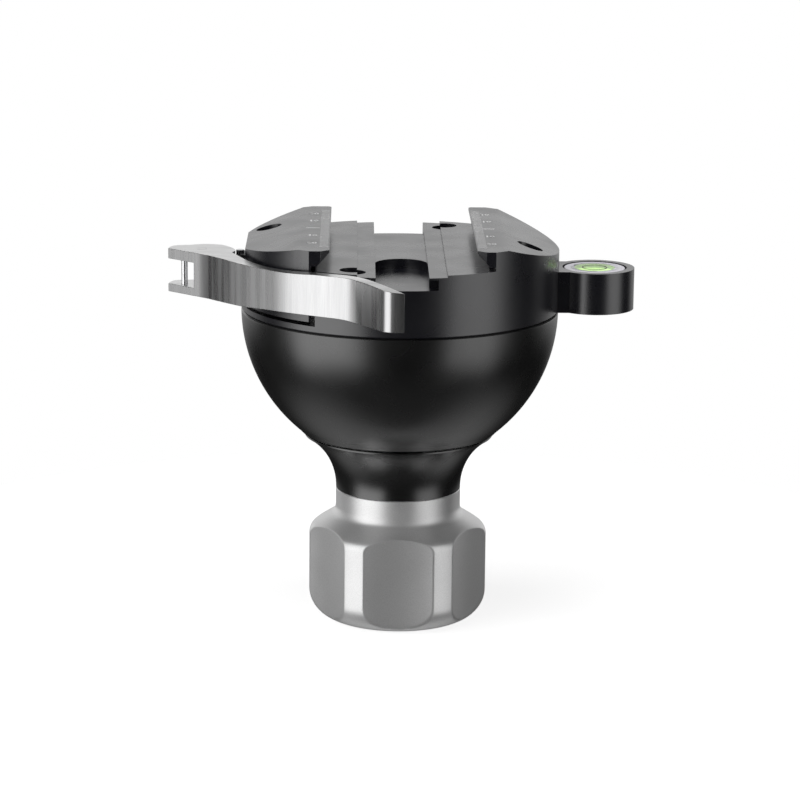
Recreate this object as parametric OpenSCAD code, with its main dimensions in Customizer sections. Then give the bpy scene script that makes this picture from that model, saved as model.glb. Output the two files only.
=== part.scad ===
// Leveling base for a video bowl: a half ball with a dovetail clamp on top,
// and a flared clamp cup drawn up from below by a fluted tie-down knob.
// Origin at the centre of the ball, +Z up, +X towards the bubble level.

/* [Ball] */
// Diameter of the half ball, and of the clamp disc on it
ball_d = 75; // [72:0.5:80]
// Wall of the ball's shell
ball_wall = 5; // [4:0.5:6]
// Width of the thick rim that takes the clamp screws
ball_rim_w = 11; // [10:0.5:13]
// Diameter of the boss that holds the tie stud
ball_boss_d = 24; // [20:1:28]
// Height cut off the bottom of the ball
ball_flat = 7.8; // [7.4:0.1:8.2]
// Bevel round the ball's bottom
ball_bevel = 1.1; // [0.8:0.1:1.4]
// Chamfer on both sides of the seam between ball and clamp
seam_chamfer = 0.35; // [0.2:0.05:0.6]

/* [Tie stud] */
// Diameter of the tie stud
stud_d = 12; // [10:0.5:13]
// Length of the stud inside the ball's boss
stud_grip = 14; // [10:1:18]
// How far the cup and the knob travel down the stud
cup_travel = 10; // [6:0.5:10]
// Thickness of the stop washer on the stud's end
stop_washer_t = 1.2; // [0.8:0.1:1.6]
// Diameter of the stop screw's thread
stop_screw_d = 5; // [4:0.5:6]
// Diameter of the stop screw's head
stop_head_d = 8.4; // [7:0.2:9.4]
// Height of the stop screw's head
stop_head_h = 2.4; // [1.6:0.2:2.6]
// Depth of the stop screw in the stud
stop_screw_depth = 8; // [6:0.5:12]

/* [Clamp cup] */
// Diameter of the cup's rim
cup_rim_d = 44.8; // [44:0.2:46]
// Width of the flat lip around the cup's seat
cup_lip_w = 0.9; // [0.6:0.1:1.2]
// Height of the rim's straight edge
cup_rim_h = 0.4; // [0.3:0.05:0.6]
// Gap between the ball's flat bottom and the cup's rim
rim_gap = 0.6; // [0.4:0.05:0.8]
// Radius of the cup's hollow seat, for a bowl whose wall lies between it and the ball
seat_r = 41.5; // [39.5:0.5:43]
// Diameter of the cup's neck, and of the knob's collar
neck_d = 29.8; // [28:0.2:32]
// Thickness of the cup from its foot to the deepest point of its seat
cup_base = 7.5; // [7.2:0.1:8]
// Inner diameter of the friction liner
liner_in_d = 22; // [20:0.5:24]
// Outer diameter of the friction liner
liner_out_d = 33; // [31:0.5:34]
// Thickness of the friction liner
liner_t = 1.4; // [1:0.1:1.8]

/* [Knob] */
// Diameter of the knob over its lands
knob_d = 42.5; // [40:0.25:46]
// Height of the knob, collar and foot chamfer included
knob_h = 31.5; // [31:0.25:34]
// Height of the straight collar under the cup
collar_h = 5.9; // [4.5:0.1:6.2]
// Radius that rounds the shoulder into the lands
shoulder_r = 2.8; // [2:0.1:3.6]
// Slope of the shoulder below the horizontal
shoulder_angle = 32; // [28:1:38]
// Fillet between collar and shoulder
collar_fillet = 0.9; // [0.4:0.1:1.2]
// Radius that rounds the foot of the knob
foot_r = 6.5; // [5:0.25:7]
// Radius of the knob's flat foot
foot_flat_r = 16.4; // [16:0.1:17.5]
// Number of flutes
flutes = 6; // [5:1:8]
// Distance of a flute's floor from the knob's axis
flute_floor = 19.2; // [18.6:0.1:19.8]
// Radius of the shallow hollow of each flute
flute_hollow_r = 90; // [60:5:140]
// Thickness of the thrust washer between cup and knob
thrust_t = 1.2; // [0.8:0.1:1.5]
// Outer diameter of the thrust washer
thrust_d = 23.6; // [22:0.2:24.4]
// Wall over the knob's nut
nut_roof = 1.4; // [1:0.1:2]
// Height of the steel nut in the knob
nut_h = 9.5; // [8:0.25:10]
// Diameter of the steel nut in the knob
nut_d = 20; // [19:0.2:21]
// Diameter of the knob's bottom cap
cap_d = 26; // [24:0.5:28]
// Thickness of the knob's bottom cap
cap_t = 1.6; // [1:0.1:2]

/* [Clamp] */
// Height of the plate bed above the seam
bed_z = 14.4; // [14:0.1:16]
// Width of the dovetail plate that the jaws grip
plate_w = 38; // [37:0.2:39]
// Distance of the slot's middle from the ball's axis
slot_x = 0.3; // [0:0.05:0.4]
// Height of the plate's straight edge below its slope
plate_edge = 1.6; // [1.2:0.1:1.9]
// Height of the jaws above the bed
jaw_h = 4.4; // [4.2:0.1:5]
// Upright land on the lip of each jaw
jaw_land = 0.6; // [0.4:0.1:0.8]
// Height above the bed where the jaw's slope meets its relief
relief_h = 0.9; // [0.7:0.1:1.1]
// Depth of the relief behind the slope
relief_w = 1.3; // [0.8:0.1:1.5]
// Length of the jaws
jaw_len = 61.8; // [56:0.2:62]
// Length of the bevels on the lips' front corners
jaw_bevel_l = 1.8; // [1:0.1:3]
// Width of those bevels
jaw_bevel_w = 2; // [0.5:0.1:2.2]
// Length and width of the bevels on the lips' back corners
back_bevel = 0.6; // [0.4:0.1:1.2]
// Width of the level strip on top of the fixed jaw
fixed_flat_w = 7.1; // [6.5:0.1:8.5]
// Width of the level strip on top of the moving jaw
moving_flat_w = 6.9; // [6.5:0.1:8.5]
// Drop of the fixed jaw's slope at the rim
fixed_drop = 4.6; // [3.5:0.1:4.8]
// Drop of the moving jaw's slope at the rim
moving_drop = 3.4; // [2.5:0.1:3.6]
// How far the moving jaw's access hole stands outwards of the screw under it
access_shift = 1.3; // [0.5:0.1:1.5]
// Radius of the moving jaw's round side
jaw_r = 37; // [36.6:0.1:37.2]
// Distance of that side's centre from the ball's axis
jaw_centre_x = 0.8; // [0.3:0.1:0.9]
// Thickness of the plate under the moving jaw
bay_floor = 1.6; // [1.5:0.1:2]
// Running gap under the moving jaw
jaw_under_gap = 0.85; // [0.6:0.05:1.3]
// Gap between the moving jaw and the body when it grips
jaw_gap = 1; // [0.8:0.1:1.4]
// How far the moving jaw opens
jaw_travel = 2; // [1.5:0.1:2]
// Distance of the flat on the moving jaw from the ball's axis
jaw_flat_x = 36.2; // [36:0.1:36.4]

/* [Bed] */
// Width of the shallow step in the bed
step_w = 20.4; // [18:0.2:21]
// Depth of the shallow step
step_depth = 0.5; // [0.3:0.1:0.7]
// Width of the middle channel
channel_w = 12.1; // [11:0.1:13]
// Depth of the channel's shelf below the bed
shelf_depth = 1; // [0.75:0.05:1.2]
// Depth of the channel's deep ends below the bed
channel_depth = 3.35; // [2.8:0.05:3.4]
// Distance from the axis to the round front end of the shelf
shelf_front = 10.1; // [8:0.1:11]
// Distance from the axis to the straight back end of the shelf
shelf_back = 21.8; // [19:0.1:25]
// Width of the undercut beside the channel's front end
notch_w = 2.1; // [1.6:0.1:2.8]
// Depth of that undercut behind the rim
notch_depth = 4; // [3:0.25:5]

/* [Clamp screws] */
// Radius of the circle that the clamp screws stand on
screw_circle_r = 32; // [31.5:0.1:32.4]
// Angle of the first clamp screw from +X
screw_angle = 69.5; // [66:0.5:74]
// Diameter of the clamp screws
screw_d = 3; // [2.5:0.1:3.2]
// Diameter of the clamp screws' heads
screw_head_d = 5.5; // [5:0.1:5.6]
// Height of the clamp screws' heads
screw_head_h = 3; // [2.4:0.1:3.2]
// Diameter of the counterbores
counterbore_d = 6; // [5.8:0.1:6.6]
// Height of the seats under the screw heads
screw_seat_z = 6; // [5:0.25:7]
// Depth of the screws in the ball
screw_depth = 8; // [6:0.5:9]

/* [Jaw slide] */
// Diameter of the guide pins
guide_d = 4; // [3.4:0.1:4.2]
// Distance of each guide pin from the middle
guide_y = 18; // [17.6:0.1:18.6]
// Height of the guide pins above the seam
guide_z = 8.5; // [8:0.1:9]
// Length of the guide pins in the body
guide_grip = 13; // [10:0.5:13]
// Length of the guide pins in the jaw
guide_reach = 9.25; // [8:0.25:9.5]
// Diameter of the spring wire
spring_wire_d = 0.6; // [0.5:0.05:0.7]
// Outer diameter of the jaw springs
spring_d = 6.2; // [6.1:0.05:6.4]
// Number of turns in each jaw spring
spring_turns = 6; // [4:1:7]
// Depth of the spring pockets in the jaw
pocket_jaw = 7; // [6:0.25:7.5]
// Depth of the spring pockets in the body
pocket_body = 3; // [2.5:0.25:4]

/* [Draw bar] */
// Diameter of the draw bar
bar_d = 3.6; // [3.4:0.1:3.7]
// Diameter of the eye on the draw bar's end
eye_d = 3.8; // [3.7:0.1:4.2]
// Length of the draw bar inside the body
bar_grip = 26; // [22:0.5:27]
// Diameter of the pin that anchors the draw bar
anchor_d = 2; // [1.6:0.1:2.2]
// Distance from the draw bar's inner end to its anchor pin
anchor_back = 4; // [3:0.25:5]

/* [Lever] */
// Distance of the lever's pivot from the ball's axis along X
pivot_x = 46.6; // [46.2:0.1:47]
// Distance of the lever's pivot in front of the ball's axis
pivot_y = 4.2; // [3.6:0.1:4.6]
// Radius of the cam on the lever's hub
cam_r = 7.9; // [7.7:0.05:7.95]
// Angle that the lever swings from closed to open
lever_swing = 110; // [95:5:115]
// Height of the lever's underside above the seam
lever_z = 4.15; // [4:0.05:4.6]
// Height of the lever
lever_h = 10.25; // [9.75:0.05:10.4]
// Thickness of the lever's arm
lever_t = 3; // [2.4:0.1:3.4]
// How much thinner the arm is beside the hub
arm_thin = 0.9; // [0.4:0.1:1.2]
// Gap between the closed lever and the body
lever_gap = 0.8; // [0.6:0.1:1.2]
// Angle round the body where the arm leaves it
kick_at = 112; // [108:1:116]
// Angle that the finger tab turns outwards
kick_turn = 27; // [20:1:32]
// Radius of the bend into the finger tab
kick_r = 10; // [8:0.5:14]
// Length of the finger tab
tab_len = 14.8; // [11:0.2:16]
// How much lower the lever's top is at the end of its tab
tab_drop = 1.5; // [0.8:0.1:2]
// Length over which the lever's top slopes down to the tab's end
tab_slope_l = 14; // [10:0.5:20]
// How late that slope steepens, 1 for a straight one
tab_curve = 1.5; // [1:0.1:2.5]
// Thickness of the hub's lower fork plate
fork_low_t = 1.9; // [1.8:0.1:2.4]
// Distance from the pivot to the solid part of the hub between the fork's plates
fork_web_x = 1.6; // [1.4:0.1:2]
// Thickness of the hub's upper fork plate
fork_top_t = 2.4; // [2.3:0.1:2.6]
// Diameter of the lever's pivot pin
pivot_d = 2.2; // [2:0.1:2.4]
// Diameter of the stop pin across the fork
stop_pin_d = 1.5; // [1.3:0.1:1.6]
// Distance of the stop pin from the pivot, away from the jaw
stop_pin_x = 4; // [3.8:0.1:4.5]
// Distance of the stop pin from the pivot, towards the front
stop_pin_y = 1; // [0.8:0.1:1.1]
// Diameter of the two follower pins on the jaw
follower_d = 1.9; // [1.7:0.05:2]
// Width of the thrust pad that carries the follower pins
pad_w = 6.4; // [6.2:0.1:7]
// Depth of the thrust pad in the jaw's flat
pad_sink = 1; // [0.8:0.1:1.4]
// How far the thrust pad reaches up beside the fork's upper plate
pad_rise = 1.5; // [0.8:0.1:1.8]
// Height of the shallow arch under the lever's arm
arch_h = 0.8; // [0.5:0.1:1]
// Radius of that arch
arch_r = 160; // [140:5:200]
// Distance of the arch's middle from the ball's axis
arch_x = 20.5; // [19:0.5:22]
// Depth of the shallow hollow along the top of the arm
scoop_h = 0.5; // [0.2:0.1:0.7]
// Radius of that hollow
scoop_r = 117; // [100:1:140]
// Distance of the hollow's middle from the ball's axis
scoop_x = 31; // [29:0.5:32]

/* [Bubble level] */
// Distance of the bubble level from the ball's axis
vial_x = 46; // [45.5:0.1:47.5]
// Radius of the boss around the bubble level
boss_r = 9.4; // [9.3:0.1:10]
// Height of the boss's top above the seam
boss_top = 9.9; // [9.4:0.1:11]
// Height of the boss's underside above the seam
boss_low = 0.15; // [0.05:0.05:0.6]
// Width of the arm between clamp and boss
arm_w = 14; // [12:0.25:16]
// Radius of the seat of the bubble level
vial_seat_r = 7.6; // [7.5:0.05:7.9]
// Depth of that seat
vial_seat_depth = 6.2; // [5.6:0.1:6.8]
// Radius of the vial's cup
vial_r = 7.2; // [6.9:0.05:7.3]
// Wall of the vial's cup
vial_wall = 1.6; // [1.3:0.1:1.8]
// Thickness of the vial's floor
vial_floor = 1; // [0.8:0.1:1.3]
// How deep the vial's top stands in the boss
vial_sink = 0.1; // [0.05:0.05:0.4]
// Thickness of the vial's clear lens
lens_t = 1.1; // [0.8:0.1:1.3]
// Diameter of the bubble
bubble_d = 4; // [3.4:0.1:4.6]

/* [Clearances] */
// Gap between the ball and the cup's seat
seat_gap = 0.3; // [0.2:0.02:0.4]
// Radial clearance of pieces that slide or turn on each other
run_gap = 0.05; // [0.03:0.01:0.08]
// Radial clearance of pieces that are pressed or screwed together
fit_gap = 0.02; // [0.01:0.005:0.03]
// Clearance round pieces that pass through without touching
pass_gap = 0.4; // [0.3:0.02:0.45]
// Gap between the cam and the follower pins
cam_gap = 0.15; // [0.1:0.01:0.2]

/* [Hidden] */

$fn = 96;
over = 1;

ball_r = ball_d / 2;
stud_r = stud_d / 2;
neck_r = neck_d / 2;
knob_r = knob_d / 2;
stud_hole_r = stud_r + pass_gap;
ball_floor_z = -(ball_r - ball_flat);
boss_up_z = ball_floor_z + stud_grip + ball_wall;
ball_low_r = sqrt(ball_r * ball_r - pow(ball_floor_z + ball_bevel, 2));

// Cup: its seat is part of a sphere that meets the lip's inner edge
cup_rim_r = cup_rim_d / 2;
lip_in_r = cup_rim_r - cup_lip_w;
rim_z = ball_floor_z - rim_gap;
seat_depth = seat_r - sqrt(seat_r * seat_r - lip_in_r * lip_in_r);
cup_h = cup_base + seat_depth;
cup_foot_z = rim_z - cup_h;
seat_centre_z = rim_z + sqrt(seat_r * seat_r - lip_in_r * lip_in_r);
// The flare leaves the neck upright and ends at the rim
flare_out = cup_rim_r - neck_r;
flare_up = cup_h - cup_rim_h;
flare_r = (flare_out * flare_out + flare_up * flare_up) / (2 * flare_out);
flare_x = neck_r + flare_r;
flare_turn = asin(flare_up / flare_r);
arc_steps = 12;

// Knob, from its collar down to its foot
knob_foot_z = cup_foot_z - knob_h;
collar_z = cup_foot_z - collar_h;
shoulder_turn = 90 - shoulder_angle;
shoulder_x = knob_r - shoulder_r;
shoulder_run = shoulder_x + shoulder_r * cos(shoulder_turn) - neck_r;
shoulder_z = collar_z - shoulder_run * tan(shoulder_angle) - shoulder_r * sin(shoulder_turn);
foot_turn = acos(1 - (knob_r - foot_flat_r) / foot_r);
thrust_pocket_z = cup_foot_z - thrust_t;
nut_top_z = thrust_pocket_z - nut_roof;
nut_low_z = nut_top_z - nut_h;
cavity_r = nut_d / 2;
cap_top_z = knob_foot_z + cap_t + fit_gap;
stud_end_z = nut_low_z - cup_travel - seat_gap;
stud_top_z = ball_floor_z + stud_grip;
stop_washer_r = cavity_r - pass_gap;

// Clamp
jaw_top_z = bed_z + jaw_h;
lip_half = plate_w / 2 - (jaw_h - jaw_land - plate_edge);
jaw_lip_x = lip_half + slot_x;
relief_z = bed_z + relief_h;
slope_end_x = jaw_lip_x + jaw_h - jaw_land - relief_h;
jaw_back_x = slope_end_x + relief_w;
body_wall_x = jaw_back_x - 2 * slot_x - jaw_gap;
moving_lip_x = lip_half - slot_x;
moving_back_x = moving_lip_x + jaw_back_x - jaw_lip_x;
jaw_low_z = bay_floor + jaw_under_gap;
step_z = bed_z - step_depth;
shelf_z = bed_z - shelf_depth;
channel_z = bed_z - channel_depth;
channel_half = channel_w / 2;
screw_turns = [for (i = [0 : 3]) screw_angle + i * 90];
bay_screw = 1;
screw_hole_r = screw_d / 2 + run_gap;
head_r = screw_head_d / 2;
counterbore_r = counterbore_d / 2;

// Jaw slide
guide_r = guide_d / 2;
pocket_r = spring_d / 2 + pass_gap;
guide_in_x = body_wall_x - guide_grip;
guide_out_x = moving_back_x + guide_reach;
spring_in_x = body_wall_x - pocket_body;
spring_out_x = moving_back_x + pocket_jaw;
spring_seg = 12;
spring_sides = 6;
spring_mean_r = (spring_d - spring_wire_d) / 2;
spring_len = spring_out_x - spring_in_x - spring_wire_d - 2 * fit_gap;
spring_rings = spring_turns * spring_seg;

// Lever: the fork's gap sets the height of the draw bar
lever_top = lever_z + lever_h;
fork_low_z = lever_z + fork_low_t;
fork_top_z = lever_top - fork_top_t;
bar_z = (fork_low_z + fork_top_z) / 2;
bar_r = bar_d / 2;
bar_in_x = bar_grip - body_wall_x;
eye_r = eye_d / 2;
eye_h = fork_top_z - fork_low_z - 2 * run_gap;
pivot_r = pivot_d / 2;
web_y = -(eye_r + seat_gap);
web_x = -fork_web_x;
cam_drop_rate = jaw_travel / lever_swing;
cam_rest = lever_swing + 10;
cam_rise = cam_rest + 30;
hub_left = 178;
hub_right = -24;
hub_step = 7;
arm_start = -158;
arm_in_r = ball_r + lever_gap;
arm_out_r = arm_in_r + lever_t;
tab_angle = 90 - kick_at - kick_turn;
tab_steps = 6;
// Shares of the tab's length and thickness at the corners of its cut end
tab_end_shares = [[0.75, 0], [0.88, 0.28], [1, 1]];
follower_r = follower_d / 2;
follower_x = pivot_x - cam_r - cam_gap - follower_r;
pad_in_x = jaw_flat_x - pad_sink;
pad_low_z = lever_z + seat_gap / 2;
pad_top_z = fork_top_z + pad_rise;

// Bubble level
vial_seat_z = boss_top - vial_seat_depth;
vial_well_r = vial_r - vial_wall;
vial_well_z = vial_seat_z + vial_floor;
vial_top_z = boss_top - vial_sink;
lens_z = vial_top_z - lens_t;
bubble_r = bubble_d / 2;

// Points along an arc, from angle a0 to angle a1
function arc(cx, cy, r, a0, a1, n = arc_steps) =
    [for (i = [0 : n]) let (a = a0 + (a1 - a0) * i / n) [cx + r * cos(a), cy + r * sin(a)]];

// Radius of the cam, which falls as the lever opens and then rises to the round hub
function cam_radius(a) =
    a < 0 ? cam_r
    : a < cam_rest ? cam_r - cam_drop_rate * a
    : a < cam_rise ? cam_r - cam_drop_rate * cam_rest * (cam_rise - a) / (cam_rise - cam_rest)
    : cam_r;

module tube(outer, inner, low, high) {
    translate([0, 0, low]) difference() {
        cylinder(r = outer, h = high - low);
        translate([0, 0, -over]) cylinder(r = inner, h = high - low + 2 * over);
    }
}

module rod(r, low, high) {
    translate([0, 0, low]) cylinder(r = r, h = high - low);
}

// A round bar along X, on the left of the axis for positive distances
module rod_x(r, from_x, to_x, y, z) {
    translate([-to_x, y, z]) rotate([0, 90, 0]) cylinder(r = r, h = to_x - from_x);
}

module box(x0, x1, y0, y1, z0, z1) {
    translate([x0, y0, z0]) cube([x1 - x0, y1 - y0, z1 - z0]);
}

// Places its children at the clamp screw of that number
module at_screw(i) {
    rotate([0, 0, screw_turns[i]]) translate([screw_circle_r, 0, 0]) children();
}

module half_ball() color("#1c1c1e") {
    cavity_r_in = ball_r - ball_wall;
    difference() {
        sphere(r = ball_r);
        rod(ball_d, -seam_chamfer / 4, ball_d);
        rod(ball_d, -ball_d, ball_floor_z);
        difference() {
            intersection() {
                sphere(r = cavity_r_in);
                rod(ball_r - ball_rim_w, -ball_d, over);
            }
            rod(ball_boss_d / 2, -ball_d, boss_up_z);
            rod(ball_d, -ball_d, ball_floor_z + ball_wall);
        }
        difference() {
            rod(ball_r, ball_floor_z - over, ball_floor_z + ball_bevel);
            translate([0, 0, ball_floor_z - over])
                cylinder(r1 = ball_low_r - ball_bevel - over, r2 = ball_low_r + over,
                    h = ball_bevel + 2 * over);
        }
        rod(stud_r + fit_gap, ball_floor_z - over, stud_top_z);
        for (i = [0 : 3]) at_screw(i) rod(screw_d / 2 + fit_gap, -screw_depth - over, over);
        difference() {
            rod(ball_r + over, -seam_chamfer - over, over);
            translate([0, 0, -seam_chamfer - over])
                cylinder(r1 = ball_r + over, r2 = ball_r - seam_chamfer - over, h = seam_chamfer + 2 * over);
        }
    }
}

module tie_stud() color("#b9bcc0") difference() {
    rod(stud_r, stud_end_z, stud_top_z);
    rod(stop_screw_d / 2 + fit_gap, stud_end_z - over, stud_end_z + stop_screw_depth + over);
}

// Half outline of the cup, swept round the axis
function cup_outline() = concat(
    [[stud_hole_r, cup_foot_z]],
    arc(flare_x, cup_foot_z, flare_r, 180, 180 - flare_turn),
    [[cup_rim_r, rim_z], [stud_hole_r, rim_z]]);

module seat_ball(r) {
    translate([0, 0, seat_centre_z]) sphere(r = r);
}

// A ring of the given radii that reaches from the rim down to a larger seat sphere
module cup_seat_ring(outer, inner, r) {
    intersection() {
        tube(outer, inner, cup_foot_z, rim_z);
        seat_ball(r);
    }
}

module clamp_cup() color("#1f1f21") difference() {
    rotate_extrude() polygon(cup_outline());
    seat_ball(seat_r);
    cup_seat_ring(liner_out_d / 2, liner_in_d / 2, seat_r + liner_t);
}

module cup_liner() color("#2d2f31") difference() {
    cup_seat_ring(liner_out_d / 2 - fit_gap, liner_in_d / 2 + fit_gap,
        seat_r + liner_t - fit_gap);
    seat_ball(seat_r);
}

module thrust_washer() color("#c9b37a")
    tube(thrust_d / 2, stud_hole_r, thrust_pocket_z, cup_foot_z);

// Half outline of the knob before its flutes and bores
function knob_outline() = concat(
    [[0, cup_foot_z], [neck_r, cup_foot_z], [neck_r, collar_z + collar_fillet],
     [neck_r + collar_fillet * cos(shoulder_angle), collar_z - collar_fillet * sin(shoulder_angle)]],
    arc(shoulder_x, shoulder_z, shoulder_r, shoulder_turn, 0),
    arc(knob_r - foot_r, knob_foot_z + foot_r * sin(foot_turn), foot_r, 0, -foot_turn),
    [[0, knob_foot_z]]);

module knob() color("#b4b6b8") difference() {
    rotate_extrude() polygon(knob_outline());
    for (i = [0 : flutes - 1]) rotate([0, 0, i * 360 / flutes - 90])
        translate([flute_floor + flute_hollow_r, 0, knob_foot_z - over])
            cylinder(r = flute_hollow_r, h = collar_z - knob_foot_z + over, $fn = 360);
    rod(stud_hole_r, knob_foot_z - over, cup_foot_z + over);
    rod(thrust_d / 2 + fit_gap, thrust_pocket_z, cup_foot_z + over);
    rod(cavity_r, knob_foot_z - over, nut_top_z);
    rod(cap_d / 2, knob_foot_z - over, cap_top_z);
}

module knob_nut() color("#9a9da1")
    tube(cavity_r - fit_gap, stud_r + run_gap, nut_low_z, nut_top_z);

module knob_cap() color("#8d9093")
    rod(cap_d / 2 - fit_gap, cap_top_z - cap_t, cap_top_z);

module stop_washer() color("#a4a7ab")
    tube(stop_washer_r, stop_screw_d / 2 + run_gap, stud_end_z - stop_washer_t, stud_end_z);

module stop_screw() color("#a4a7ab") {
    head_z = stud_end_z - stop_washer_t;
    difference() {
        union() {
            rod(stop_screw_d / 2, head_z, stud_end_z + stop_screw_depth);
            rod(stop_head_d / 2, head_z - stop_head_h, head_z);
        }
        translate([0, 0, head_z - stop_head_h - over])
            cylinder(r = stop_head_d / 4, h = stop_head_h / 2 + over, $fn = 6);
    }
}

// Extrudes an outline across the clamp, given as distances from the axis and heights
module across(length) {
    rotate([90, 0, 0]) linear_extrude(height = length, center = true) children();
}

// What is cut off above a jaw's top, which is level up to the given distance from the axis
// and then slopes down to the rim by the given drop
module jaw_top_cut(level_x, drop) {
    slope = drop / (ball_r - level_x);
    across(ball_d + over) polygon([[level_x, jaw_top_z],
        [ball_r + over, jaw_top_z - drop - slope * over], [ball_r + over, jaw_top_z + over],
        [level_x - over / slope, jaw_top_z + over]]);
}

// The dovetail under a jaw's lip, with its relief
module jaw_undercut(low) {
    across(ball_d + over) polygon([[0, low], [jaw_back_x, low], [jaw_back_x, relief_z],
        [slope_end_x, relief_z], [jaw_lip_x, jaw_top_z - jaw_land], [jaw_lip_x, jaw_top_z + over],
        [0, jaw_top_z + over]]);
}

// The ends of a jaw, and the small bevels on its lip's corners
module jaw_ends(low) {
    for (side = [-1, 1]) scale([1, side, 1]) {
        bevel_l = side < 0 ? jaw_bevel_l : back_bevel;
        bevel_w = side < 0 ? jaw_bevel_w : back_bevel;
        box(0, ball_r + over, jaw_len / 2, ball_r + over, low, jaw_top_z + over);
        translate([0, 0, low]) linear_extrude(height = jaw_top_z + over - low) polygon([
            [jaw_lip_x - over, jaw_len / 2 - bevel_l - bevel_l / bevel_w * over],
            [jaw_lip_x + bevel_w, jaw_len / 2], [jaw_lip_x - over, jaw_len / 2]]);
    }
}

module clamp_body() color("#2a2a2c") difference() {
    union() {
        difference() {
            rotate_extrude() polygon([[0, 0], [ball_r - seam_chamfer, 0],
                [ball_r, seam_chamfer], [ball_r, jaw_top_z], [0, jaw_top_z]]);
            box(-ball_r - over, over, -ball_r - over, ball_r + over, bed_z, jaw_top_z + over);
            jaw_undercut(bed_z);
            jaw_top_cut(jaw_lip_x + fixed_flat_w, fixed_drop);
            jaw_ends(bed_z);
        }
        translate([vial_x, 0, 0]) rod(boss_r, boss_low, boss_top);
        box(ball_r - over, vial_x, -arm_w / 2, arm_w / 2, boss_low, boss_top);
    }
    box(-ball_r - over, -body_wall_x, -ball_r - over, ball_r + over, bay_floor, bed_z + over);
    box(-step_w / 2, step_w / 2, -ball_r - over, ball_r + over, step_z, bed_z + over);
    box(-channel_half, channel_half, -shelf_front - channel_half, shelf_back, shelf_z, bed_z + over);
    box(-channel_half, channel_half, shelf_back, ball_r + over, channel_z, bed_z + over);
    box(-channel_half, channel_half, -ball_r - over, -shelf_front - channel_half,
        channel_z, bed_z + over);
    translate([0, -shelf_front - channel_half, 0]) rod(channel_half, channel_z, bed_z + over);
    box(-channel_half - notch_w, channel_half + notch_w, -ball_r - over,
        notch_depth - ball_r, channel_z, step_z - step_depth);
    for (i = [0 : 3]) at_screw(i) {
        rod(screw_hole_r, -over, bed_z);
        rod(counterbore_r, i == bay_screw ? bay_floor : screw_seat_z, jaw_top_z + over);
    }
    for (y = [-guide_y, guide_y]) {
        rod_x(guide_r + fit_gap, guide_in_x, ball_r, y, guide_z);
        rod_x(pocket_r, spring_in_x, body_wall_x + over, y, guide_z);
    }
    rod_x(bar_r + fit_gap, body_wall_x - bar_grip, body_wall_x + over, -pivot_y, bar_z);
    translate([bar_in_x - anchor_back, -pivot_y, 0])
        rod(anchor_d / 2 + fit_gap, -over, bar_z + bar_d);
    translate([vial_x, 0, 0]) rod(vial_seat_r, vial_seat_z, boss_top + over);
}

// One socket screw with its head's underside at the given height
module socket_screw(seat) {
    difference() {
        union() {
            rod(screw_d / 2, -screw_depth, seat + over);
            rod(head_r, seat, seat + screw_head_h);
        }
        translate([0, 0, seat + screw_head_h / 2])
            cylinder(r = head_r / 2, h = screw_head_h, $fn = 6);
    }
}

module clamp_screws() color("#3a3b3d")
    for (i = [0 : 3]) at_screw(i) socket_screw(i == bay_screw ? bay_floor : screw_seat_z);

module movable_jaw() color("#2a2a2c") {
    screw_x = screw_circle_r * cos(screw_turns[bay_screw]);
    screw_y = screw_circle_r * sin(screw_turns[bay_screw]);
    slot_r = head_r + pass_gap;
    difference() {
        translate([-jaw_centre_x, 0, 0]) rod(jaw_r, jaw_low_z, jaw_top_z);
        box(-moving_back_x, ball_r + over, -ball_r - over, ball_r + over, 0, relief_z);
        box(-over, ball_r + over, -ball_r - over, ball_r + over, 0, jaw_top_z + over);
        box(-ball_r - over, -jaw_flat_x, -ball_r - over, ball_r + over, 0, jaw_top_z + over);
        mirror([1, 0, 0]) {
            translate([moving_lip_x - jaw_lip_x, 0, 0]) {
                jaw_undercut(bed_z);
                jaw_ends(0);
            }
            jaw_top_cut(moving_lip_x + moving_flat_w, moving_drop);
        }
        translate([screw_x - access_shift, screw_y, 0]) rod(counterbore_r, 0, jaw_top_z + over);
        translate([screw_x, screw_y, 0]) {
            rod(slot_r, 0, bay_floor + screw_head_h + pass_gap);
            box(0, jaw_travel, -slot_r, slot_r, 0, bay_floor + screw_head_h + pass_gap);
            translate([jaw_travel, 0, 0]) rod(slot_r, 0, bay_floor + screw_head_h + pass_gap);
        }
        for (y = [-guide_y, guide_y]) {
            rod_x(guide_r + run_gap, 0, guide_out_x + seat_gap, y, guide_z);
            rod_x(pocket_r, 0, spring_out_x, y, guide_z);
        }
        rod_x(bar_r + pass_gap, 0, ball_r + over, -pivot_y, bar_z);
        box(-jaw_flat_x - over, -pad_in_x, -pivot_y - pad_w / 2 - fit_gap,
            -pivot_y + pad_w / 2 + fit_gap, pad_low_z - fit_gap, pad_top_z + fit_gap);
    }
}

module guide_pins() color("#c4c7ca")
    for (y = [-guide_y, guide_y]) rod_x(guide_r, guide_in_x, guide_out_x, y, guide_z);

// Springs, each one unbroken tube swept round its guide pin
function spring_point(i, k) =
    let (a = i * 360 / spring_seg, b = k * 360 / spring_sides,
         r = spring_mean_r + spring_wire_d / 2 * cos(b))
    [r * cos(a), r * sin(a), spring_len * i / spring_rings + spring_wire_d / 2 * sin(b)];

module spring() {
    tube_points = [for (i = [0 : spring_rings], k = [0 : spring_sides - 1]) spring_point(i, k)];
    tube_faces = [for (i = [0 : spring_rings - 1], k = [0 : spring_sides - 1])
        let (a = i * spring_sides + k, b = i * spring_sides + (k + 1) % spring_sides)
        each [[a, a + spring_sides, b], [b, a + spring_sides, b + spring_sides]]];
    end_faces = [for (k = [1 : spring_sides - 2])
        each [[0, k, k + 1],
              [spring_rings * spring_sides, spring_rings * spring_sides + k + 1,
               spring_rings * spring_sides + k]]];
    polyhedron(tube_points, concat(tube_faces, end_faces));
}

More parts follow.
